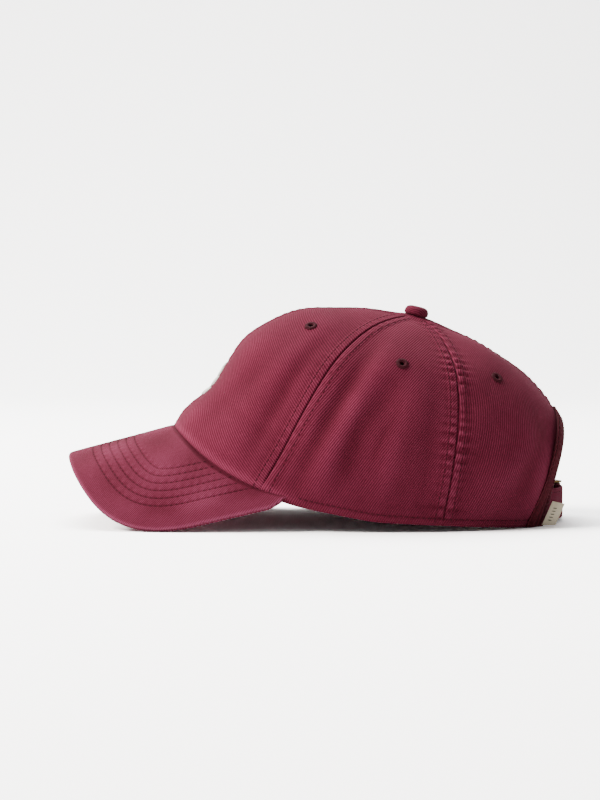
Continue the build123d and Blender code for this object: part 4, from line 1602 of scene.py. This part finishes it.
# ---- the rear opening
@dataclass
class RearOpening:
    """The bias binding round the arch, the strap with its clasp, and the labels."""

    strap_y: float = FORM.head_y + 64.1
    strap_low: float = float(corner("strap", False)[2])
    strap_width: float = 18.0
    row_place: float = 0.74
    bias: float = math.radians(25.0)
    thread: Thread = Thread(length=2.3, pitch=2.9, width=0.38)

    def arch(self, turn: Array, away: Array) -> tuple[Array, Array]:
        """Finds the points a distance outside the opening's half ellipse."""
        x = (FORM.arch_half_width + away) * np.cos(turn)
        z = np.maximum((FORM.arch_height + away) * np.sin(turn), 0.05)
        return FORM.locate(x, z)

    def swell(self, points: Array) -> Array:
        """How far the binding stands out where the opening's edge rolls back, about halfway up."""
        return 1.7 * bump(points[..., 2], 50.0, 17.0)

    def binding(self) -> bpy.types.Object:
        """A folded strip carried along the arch; its section wraps the cloth's edge.

        Returns:
            The piece.
        """
        away, height = np.array([
            (7.4, 0.2), (7.45, 0.62), (7.1, 0.95), (6.3, 0.72), (5.6, 0.98), (4.0, 1.15), (2.0, 1.12),
            (0.6, 1.0), (-0.35, 0.55), (-0.75, -0.5), (-0.75, -2.2), (-0.3, -3.2), (1.0, -3.5),
            (3.0, -3.5), (5.5, -3.4), (6.1, -3.0), (5.9, -2.5), (3.0, -1.4),
        ]).T
        turn = np.linspace(0.0, math.pi, 240)
        grid_turn, grid_away = np.meshgrid(turn, away, indexing="ij")
        flare = 1 - smooth(2.0, 26.0, FORM.arch_height * np.sin(grid_turn))
        grid_away = grid_away + flare * np.where(grid_away > 3.5, 2.8, -2.6)
        angle, share = self.arch(grid_turn, grid_away)
        points = FORM.base(angle, np.maximum(share, 0.0))
        normal = FORM.normal(angle, np.clip(share, 0.0, 1.0))
        run = arc_length(points[:, 0])
        pucker = 0.12 * np.sin(2 * math.pi * run / 4.6 + np.sin(run / 11.0))[:, None] * (grid_away > 1.0)
        under = smooth(3.5, 8.0, grid_away) * FORM.relief(angle, np.maximum(share, 0.0), points) * 0.5
        swell = self.swell(points) * np.where(height > 0, 1.0, 0.5)
        points = points + normal * (height[None, :] + pucker + under + swell)[..., None]
        points[..., 2] = np.maximum(points[..., 2], 0.03)
        count = len(away)
        faces = tube_faces(len(turn), count)
        number = np.arange(len(turn) * count).reshape(-1, count)
        half = count // 2
        caps = []
        for ring, way in ((number[0], 1), (number[-1], -1)):
            strip = [ring[:half - 1], ring[1:half], ring[::-1][1:half], ring[::-1][:half - 1]]
            caps.append(np.stack(strip[::way], axis=-1))
        across = np.cumsum(np.abs(np.diff(away, prepend=away[0])))
        uv = np.stack(np.broadcast_arrays(across, run[:, None]), axis=-1) * MM
        # Rubbed paler along the folds (columns 2, 7 and 8); painted shade in the crease at column 3.
        wear = np.zeros(grid_away.shape)
        wear[:, 7:9] = 0.7
        wear[:, 2] = 0.4
        wear[:, 3] = -0.8
        faces = np.concatenate([faces] + caps)
        piece = write_mesh("bound_arch", points.reshape(-1, 3), faces, uv.reshape(-1, 2), wear.ravel())
        return dress(piece, BINDING_TWILL, nodes=("arch_binding",))

    def binding_rows(self) -> bpy.types.Object:
        """Two stitch rows along the binding, near its inner fold and near the opening.

        Returns:
            The piece.
        """
        rows = []
        turn = np.linspace(0.03, math.pi - 0.03, 400)
        for away, height in ((6.2, 0.95), (1.5, 1.25)):
            angle, share = self.arch(turn, np.full_like(turn, away))
            share = np.clip(share, 0.0, 1.0)
            points = FORM.base(angle, share)
            points = points + FORM.normal(angle, share) * (height + self.swell(points))[:, None]
            rows.append(np.concatenate([points, FORM.normal(angle, share)], axis=-1))
        return dress(self.thread.follow("binding_stitching", rows), THREAD_FINISH)

    def strip(self, name: str, start: float, end: float, radius: float, thick: float) -> bpy.types.Object:
        """A strap standing on its edge along an arc, with rounded edges and rolled selvedges.

        Args:
            name: the CAD node's name.
            start: first angle, in degrees from straight back.
            end: last angle.
            radius: radius of the strap's middle.
            thick: the strap's thickness.

        Returns:
            The piece.
        """
        angle = np.radians(np.linspace(start, end, 120))
        t = np.linspace(-1.0, 1.0, 41)
        stitched = self.row_place
        z = self.strap_low + self.strap_width * (0.5 + 0.5 * t)
        fat = thick / 2 * np.clip((1 - np.abs(t) ** 14), 0.0, 1.0) ** 0.5
        fat = fat - 0.16 * bump(np.abs(t), stitched, 0.06) + 0.06
        sway = 0.35 * np.sin(angle * 5.0)[None, :] * (t[:, None] ** 2)
        ridge = 0.05 * np.sin(angle * radius / 1.1)[None, :] * bump(np.abs(t), stitched, 0.12)[:, None]
        spoke = np.stack([np.sin(angle), np.cos(angle), np.zeros_like(angle)], axis=-1)
        centre = np.array([0.0, self.strap_y, 0.0])

        def shell(way: float) -> Array:
            """The strap's face on one side of its middle.

            Args:
                way: 1 for the outer face and -1 for the inner one.

            Returns:
                The face's points.
            """
            reach = radius + way * (fat[:, None] + ridge) + sway * 0.3
            points = centre + spoke[None] * reach[..., None]
            points[..., 2] = z[:, None]
            return points

        flat = np.stack(np.broadcast_arrays(angle * radius, z[:, None]), axis=-1)
        cos, sin = math.cos(self.bias), math.sin(self.bias)
        uv = flat @ np.array([[cos, -sin], [sin, cos]]) * MM
        wear = np.broadcast_to(0.9 * bump(np.abs(t), 1.0, 0.06)[:, None], flat.shape[:2])
        outer, inner = shell(1.0)[:, ::-1], shell(-1.0)[:, ::-1]
        return sheet_piece("cloth_" + name, outer, inner, uv[:, ::-1], wear)

    def strap_rows(self, name: str, start: float, end: float, radius: float,
                   thick: float) -> bpy.types.Object:
        """Stitching along both selvedges of a strap, on both faces.

        Args:
            name: the CAD node's name.
            start: first angle, in degrees from straight back.
            end: last angle.
            radius: radius of the strap's middle.
            thick: the strap's thickness.

        Returns:
            The piece.
        """
        rows = []
        angle = np.radians(np.linspace(start, end, 300))
        out = np.stack([np.sin(angle), np.cos(angle), np.zeros_like(angle)], axis=-1)
        for way in (1.0, -1.0):
            for part in (-self.row_place, self.row_place):
                z = self.strap_low + self.strap_width * (0.5 + 0.5 * part)
                points = np.array([0.0, self.strap_y, z]) + out * (radius + way * (thick / 2 - 0.02))
                rows.append(np.concatenate([points, out * way], axis=-1))
        return self.thread.follow("stitching_" + name, rows)

    def straps(self) -> None:
        """The long strap, the short tab that holds the clasp, and the free tail."""
        parts = (
            ("strap", -26.6, 63.6, 50.0, 1.6, "cap"),
            ("strap_tab", -63.6, -32.4, 50.0, 1.6, "cap"),
            ("strap_tail", -49.6, -17.4, 45.2, 1.15, "strap_tail"),
        )
        for name, start, end, radius, thick, body in parts:
            piece = self.strip(name, start, end, radius, thick)
            dress(piece, TWILL, body, (name,))
            sewn = self.strap_rows(name, start + 1.0, end - 1.0, radius, thick)
            dress(sewn, THREAD_FINISH, body)

    def flag(self) -> None:
        """A folded damask label at the foot of the arch, with plain woven dashes on it."""
        low, high = corner("flag_label", False), corner("flag_label", True)
        middle = (low[0] + high[0]) / 2

        def face(across: Array, up: Array) -> tuple[Array, Array, Array]:
            """Where a place on the label lies: it leans with the opening and bows a little."""
            bow = 0.45 * np.sin(math.pi * across) + 0.25 * np.sin(2.3 * up + 1.0) * across
            y = FORM.head_y + 98.4 + 6.0 * up + across * (7.6 - 0.8 * up)
            return middle + bow, y, 1.2 + up * 13.4 - 1.6 * across * up

        across, up = np.meshgrid(np.linspace(0.0, 1.0, 34), np.linspace(0.0, 1.0, 40))
        x, y, z = face(across, up)
        fat = 0.46 * np.clip(1 - across**10, 0.05, 1.0) ** 0.5
        outer = np.stack([x + fat, y, z], axis=-1)
        inner = np.stack([x - fat, y, z], axis=-1)
        piece = sheet_piece("folded_flag_label", outer, inner, np.stack([y, z], axis=-1) * MM)
        dress(piece, LABEL, "flag_label", ("flag_label",))
        marks = 5
        seats = np.stack(face(np.full(marks, 0.42), 0.22 + 0.13 * np.arange(marks)), axis=-1)
        seats[:, 0] += 0.5
        along = np.tile(unit(np.array([0.0, 1.0, -0.1])), (marks, 1))
        out = np.tile(np.array([1.0, 0.0, 0.0]), (marks, 1))
        sewn = Thread(length=2.7, width=0.5).sew("label_dashes", seats, along, out)
        dress(sewn, LABEL_INK, "flag_label")

    def clasp(self) -> None:
        """The clasp keeps its CAD shape and gets an antique brass finish."""
        for node in ("clasp_frame", "clasp_flap", "clasp_pin"):
            paint(node, BRASS)

    def build(self) -> None:
        """Everything at the back."""
        self.binding()
        self.binding_rows()
        self.straps()
        self.flag()
        self.clasp()


# ---- inside the crown
@dataclass
class Lining:
    """The sweatband, the care label and the loop patches that hold the insert."""

    depth: float = 1.75
    thickness: float = 1.35
    height: float = 33.0
    thread: Thread = Thread(length=2.5, pitch=3.1, width=0.4)

    def band_top(self, angle: Array) -> Array:
        """The share of the band's upper edge at each angle."""
        return np.array([FORM.share_at(float(a), self.height) for a in angle])

    def sweatband(self) -> None:
        """A folded band inside the hem: full in the middle, pinched at its stitched edges."""
        angle = np.radians(np.linspace(-150.6, 150.6, 420))
        top = self.band_top(angle)
        t = np.linspace(0.0, 1.0, 34)[:, None]
        share = t * top[None, :]
        grid = np.broadcast_to(angle, share.shape)
        full = self.thickness * (0.55 + 0.45 * np.sin(math.pi * np.clip(t, 0.02, 0.98)) ** 0.5)
        ripple = 0.22 * np.sin(grid * 34.0 + 2.0 * np.sin(grid * 5)) * t * (1 - t) * 4
        near = FORM.within(grid, share, self.depth)
        far = FORM.within(grid, share, self.depth + full + ripple)
        run = arc_length(FORM.hem(angle))
        uv = np.stack(np.broadcast_arrays(run, t * self.height), axis=-1) * MM
        piece = sheet_piece("folded_sweatband", near, far, uv)
        dress(piece, SWEATBAND, nodes=("sweatband",))
        rows = []
        for part in (0.10, 0.92):
            place = FORM.within(angle, top * part, self.depth + self.thickness * 0.93)
            rows.append(np.concatenate([place, -FORM.normal(angle, top * part)], axis=-1))
        dress(self.thread.follow("sweatband_stitching", rows), THREAD_FINISH)

    def patch(
        self, name: str, node: str, span: tuple[float, float], rise: tuple[float, float],
        depth: float, thick: float, finish: Finish,
    ) -> None:
        """A small piece of cloth on the inside, crowned a little in its middle.

        Args:
            name: the piece's name.
            node: the CAD node that it replaces.
            span: first and last angle, in degrees.
            rise: first and last share.
            depth: distance of its outer face inside the crown's cloth.
            thick: its thickness.
            finish: its finish.
        """
        count = 40
        grid_angle, grid_share = np.meshgrid(
            np.radians(np.linspace(*span, count)), np.linspace(*rise, count)
        )
        u, v = np.meshgrid(np.linspace(-1, 1, count), np.linspace(-1, 1, count))
        crown = 0.25 + 0.75 * np.clip((1 - u**6) * (1 - v**6), 0, 1) ** 0.5
        near = FORM.within(grid_angle, grid_share, depth)
        far = FORM.within(grid_angle, grid_share, depth + thick * crown)
        middle = math.radians((span[0] + span[1]) / 2)
        height = FORM.height_on(middle, grid_share)
        across = (grid_angle - middle) * 75.0
        piece = sheet_piece(name, near, far, np.stack([across, height], axis=-1) * MM)
        dress(piece, finish, nodes=(node,))

    def build(self) -> None:
        """The pieces sewn inside."""
        self.sweatband()
        self.patch(
            "woven_care_label", "care_label", (121.0, 137.0), (0.03, 0.22), 3.2, 0.42,
            LABEL,
        )
        for side in Side:
            low, high = sorted((side.value * 78.0, side.value * 92.0))
            self.patch(
                f"loop_tape_{side.word}", f"loop_patch_{side.word}", (low, high), (0.33, 0.43), 1.05, 1.2,
                HOOKS,
            )
        paint("button_shell", STEEL)
        paint("button_rivet", STEEL)


@dataclass
class Insert:
    """The removable protective insert: an ABS dome with foam pads."""

    half_width: float = 65.0
    half_length: float = 96.0
    height: float = 66.0
    centre: float = 6.0
    rim: float = 18.0
    shell: float = 2.35
    foam: float = 5.0
    lip: float = 0.6
    crown_radius: float = 33.5

    def dome(self, along: Array, up: Array, depth: Array | float) -> Array:
        """A point of the half ellipsoid: along turns round its axis, up rises to its pole.

        Args:
            along: angles round the axis.
            up: angles over the rim.
            depth: distance inside the shell's face.

        Returns:
            The points.
        """
        a = self.half_width - depth
        b = self.half_length - depth
        c = self.height - depth
        x = a * np.cos(up) * np.sin(along)
        forward = self.centre - b * np.cos(up) * np.cos(along)
        return FORM.to_world(x, forward, self.rim + c * np.sin(up))

    def pad(self, name: str, node: str, span: tuple[float, float], rise: tuple[float, float]) -> None:
        """A foam pad on the dome: thick in the middle, rounded off at all its edges.

        Args:
            name: the piece's name.
            node: the CAD node that it replaces.
            span: first and last angle round the dome, in degrees.
            rise: first and last angle over the rim.
        """
        u, v = np.meshgrid(np.linspace(-1, 1, 61), np.linspace(-1, 1, 49))
        trim = 1 - 0.10 * (u * v) ** 2
        along = np.radians((span[0] + span[1]) / 2 + (span[1] - span[0]) / 2 * u * trim)
        up = np.radians((rise[0] + rise[1]) / 2 + (rise[1] - rise[0]) / 2 * v * trim)
        edge = np.clip((1 - u**12) * (1 - v**12), 0.0, 1.0) ** 0.5
        slots = 0.9 * bump(np.abs(u), 0.36, 0.035) * (np.abs(v) < 0.8)
        near = self.dome(along, up, self.shell)
        far = self.dome(along, up, self.shell + self.lip + (self.foam - self.lip) * edge - slots * edge)
        piece = sheet_piece(name, near, far)
        dress(piece, FOAM, "insert", (node,))

    def crown_pad(self) -> None:
        """A round pad at the pole, with the same rounded edge."""
        rings, columns = 29, 96
        radius = np.linspace(0.0, 1.0, rings + 1)[:, None]
        turn = np.linspace(0.0, 2 * math.pi, columns + 1)[None, :-1]
        reach = self.crown_radius * radius
        x = reach * np.sin(turn)
        forward = self.centre - reach * np.cos(turn)

        def sheet(depth: Array | float) -> Array:
            """The dome over the plan of the pad, a depth inside the shell."""
            a, b, c = self.half_width - depth, self.half_length - depth, self.height - depth
            rest = np.clip(1 - (x / a) ** 2 - ((forward - self.centre) / b) ** 2, 0.0, 1.0)
            return FORM.to_world(x, forward, self.rim + c * np.sqrt(rest))

        edge = np.clip(1 - radius**12, 0.0, 1.0) ** 0.5
        near = sheet(self.shell)
        groove = 0.8 * bump(radius, 0.55, 0.03)
        far = sheet(self.shell + self.lip + (self.foam - self.lip) * edge - groove)
        points, faces = [], []
        for grid, flip, shift in ((near, False, 0), (far, True, 1 + columns * rings)):
            points += [grid[0, :1], grid[1:].reshape(-1, 3)]
            number = 1 + np.arange(columns * rings).reshape(rings, columns)
            right = np.roll(number, -1, axis=1)
            body = np.stack([number[:-1], number[1:], right[1:], right[:-1]], axis=-1).reshape(-1, 4)
            first = number[0].reshape(-1, 2)
            after = np.roll(number[0], -1)[1::2]
            hub = np.stack([np.zeros(columns // 2, int), first[:, 0], first[:, 1], after], axis=-1)
            both = np.concatenate([body, hub]) + shift
            faces.append(both[:, ::-1] if flip else both)
        upper = 1 + np.arange(columns) + columns * (rings - 1)
        lower = upper + 1 + columns * rings
        faces.append(np.stack([upper, lower, np.roll(lower, -1), np.roll(upper, -1)], axis=-1))
        piece = write_mesh("foam_crown", np.concatenate(points), np.concatenate(faces))
        dress(piece, FOAM, "insert", ("insert_pad_crown",))

    def build(self) -> None:
        """The shell's finish, four side pads, the crown pad and the hook tabs."""
        paint("insert_shell", ABS)
        spans = (("front", 0, 30), ("rear", 180, 30), ("left", 90, 26), ("right", -90, 26))
        for where, middle, half in spans:
            self.pad("foam_" + where, "insert_pad_" + where, (middle - half, middle + half), (1.5, 38.0))
        self.crown_pad()
        for side in Side:
            paint(f"insert_tab_{side.word}", HOOKS)


# ---- embroidery
@dataclass(frozen=True)
class Leaf:
    """One satin-stitched leaf: where its stalk starts, which way it points and its size."""

    x: float
    z: float
    angle: float
    length: float
    width: float


@dataclass
class Sprig:
    """A plain embroidered leaf sprig in the middle of the forehead."""

    centre_share: float = 0.15
    leaves: tuple[Leaf, ...] = (
        Leaf(0.0, -11.0, 90.0, 22.0, 1.5), Leaf(0.0, 9.0, 90.0, 9.0, 4.4),
        Leaf(0.6, -6.0, 32.0, 13.0, 4.6), Leaf(-0.6, -6.0, 148.0, 13.0, 4.6),
        Leaf(0.6, 1.0, 40.0, 12.0, 4.4), Leaf(-0.6, 1.0, 140.0, 12.0, 4.4),
        Leaf(0.5, 6.5, 58.0, 9.0, 3.6), Leaf(-0.5, 6.5, 122.0, 9.0, 3.6),
    )

    def place(self, x: Array, z: Array, height: Array) -> tuple[Array, Array]:
        """Lays places on the forehead: x goes round the crown and z up the cloth.

        Args:
            x: distance from the middle, to the wearer's left.
            z: distance up the cloth from the sprig's middle.
            height: distance over the cloth.

        Returns:
            The points and the normals.
        """
        foot = self.centre_share
        up = FORM.height_on(0.0, np.array(foot)) + z
        table = np.linspace(0.0, 0.6, 200)
        share = np.interp(up, FORM.height_on(0.0, table), table)
        side = np.where(x < 0, -1.0, 1.0)
        low, high = np.zeros_like(x), np.full_like(x, 0.7)
        for _ in range(22):
            half = (low + high) / 2
            near = FORM.base(side * half, share)[..., 0] * side < np.abs(x)
            low, high = np.where(near, half, low), np.where(near, high, half)
        angle = side * low
        return FORM.surface(angle, share, height), FORM.normal(angle, share)

    def build(self) -> None:
        """All the leaves in one mesh: each is a crowned lens laid on the cloth."""
        points, faces, uv, count = [], [], [], 0
        for leaf in self.leaves:
            t, w = np.meshgrid(np.linspace(0.0, 1.0, 31), np.linspace(-1.0, 1.0, 15))
            half = leaf.width / 2 * np.clip(np.sin(math.pi * np.clip(t, 0.015, 0.985)), 0, 1) ** 0.75
            turn = math.radians(leaf.angle)
            x = leaf.x + t * leaf.length * math.cos(turn) - w * half * math.sin(turn)
            z = leaf.z + t * leaf.length * math.sin(turn) + w * half * math.cos(turn)
            crown = 0.95 * np.clip(1 - w**4, 0, 1) ** 0.5 * np.clip(half / half.max(), 0.2, 1.0)
            top, _ = self.place(x, z, 0.15 + crown)
            under, _ = self.place(x, z, np.full_like(x, -0.25))
            grid, quads = layered(top, under)
            points.append(grid)
            faces.append(quads + count)
            places = np.stack([t * leaf.length + 0.4 * w, w * half], axis=-1).reshape(-1, 2) * MM
            uv.append(np.tile(places, (2, 1)))
            count += len(grid)
        points, faces, uv = (np.concatenate(part) for part in (points, faces, uv))
        piece = write_mesh("embroidered_sprig", points, faces, uv)
        dress(piece, SATIN, nodes=("front_motif",))


# ---- the set
@dataclass
class Studio:
    """A pale sweep, soft lights and the camera at the side of the cap."""

    distance: float = 1.300
    elevation: float = math.radians(2.5)
    aim_y: float = -0.0103
    aim_z: float = 0.0688
    view_height: float = 0.460
    floor: float = 0.86
    over_lit: float = 2.7
    air: float = 0.36

    def sweep(self) -> None:
        """Floor and backdrop in one curved sheet: flat, then a quarter circle, then upright."""
        radius, near, far, top = 1.2, -3.2, 1.6, 3.0
        turn = np.linspace(0.0, math.pi / 2, 24)
        x = np.concatenate([[-near, 0.0], -far - radius * np.sin(turn), [-far - radius]])
        z = np.concatenate([[0.0, 0.0], radius * (1 - np.cos(turn)), [top]])
        y = np.linspace(-4.0, 4.0, 9)
        grid = np.stack(np.broadcast_arrays(x[:, None], y[None], z[:, None]), axis=-1)
        number = np.arange(len(x) * len(y)).reshape(-1, len(y))
        corners = [number[:-1, :-1], number[:-1, 1:], number[1:, 1:], number[1:, :-1]]
        faces = np.stack(corners, axis=-1).reshape(-1, 4)
        piece = write_mesh("studio_sweep", grid.reshape(-1, 3) / MM, faces)
        piece.data.materials.append(self.paper())

    def paper(self) -> bpy.types.Material:
        """Matt white paper, over-lit for the eye only, so that it stays bright behind dark cloth.

        Returns:
            The material.
        """
        paper = bpy.data.materials.new("studio_paper")
        paper.use_nodes = True
        tree = paper.node_tree
        tree.nodes.remove(tree.nodes["Principled BSDF"])
        seen = add(tree, "LightPath").outputs["Is Camera Ray"]
        white = add(tree, "MapRange", Value=seen, To_Min=self.floor, To_Max=self.floor * self.over_lit)
        matt = add(tree, "BsdfDiffuse", Color=white.outputs["Result"])
        tree.links.new(matt.outputs["BSDF"], tree.nodes["Material Output"].inputs["Surface"])
        return paper

    def light(
        self, name: str, place: tuple[float, float, float], size: float, power: float, colour: str
    ) -> None:
        """A square soft light aimed at the cap.

        Args:
            name: the lamp's name.
            place: where it is, in metres.
            size: its side, in metres.
            power: its power in watts.
            colour: its hex colour.
        """
        data = bpy.data.lights.new(name, "AREA")
        data.size = size
        data.energy = power
        data.color = srgb(colour)[:3]
        lamp = bpy.data.objects.new(name, data)
        lamp.location = place
        way = Vector((0, 0, 0.05)) - Vector(place)
        lamp.rotation_euler = way.to_track_quat("-Z", "Y").to_euler()
        bpy.context.scene.collection.objects.link(lamp)

    def camera(self) -> None:
        """The camera, on the wearer's left and almost level with the cap."""
        data = bpy.data.cameras.new("camera")
        data.sensor_fit = "VERTICAL"
        data.sensor_height = 24.0
        data.lens = data.sensor_height * self.distance / self.view_height
        data.clip_end = 50.0
        view = bpy.data.objects.new("camera", data)
        aim = Vector((0.0, self.aim_y, self.aim_z))
        away = Vector((math.cos(self.elevation), 0.0, math.sin(self.elevation)))
        view.location = aim + away * self.distance
        view.rotation_euler = away.to_track_quat("Z", "Y").to_euler()
        bpy.context.scene.collection.objects.link(view)
        bpy.context.scene.camera = view

    def build(self) -> None:
        """Sweep, world, lights and camera."""
        self.sweep()
        world = bpy.data.worlds.new("studio_air")
        world.use_nodes = True
        background = world.node_tree.nodes["Background"]
        background.inputs["Color"].default_value = (1.0, 1.0, 1.0, 1.0)
        background.inputs["Strength"].default_value = self.air
        bpy.context.scene.world = world
        self.light("key", (0.45, -2.1, 1.8), 1.2, 166.0, "#fffaf5")
        self.light("top", (-1.0, -0.4, 2.2), 1.6, 98.0, "#ffffff")
        self.camera()


def main() -> None:
    """Builds the cap's sub-assemblies in order."""
    logging.basicConfig(level=logging.INFO, format="%(name)s: %(message)s")
    assemblies = (
        Studio(), Crown(), Eyelets(), Button(), Brim(), RearOpening(), Lining(), Insert(), Sprig()
    )
    for assembly in assemblies:
        assembly.build()
        LOG.info("%s done", type(assembly).__name__)


if __name__ == "__main__":
    main()
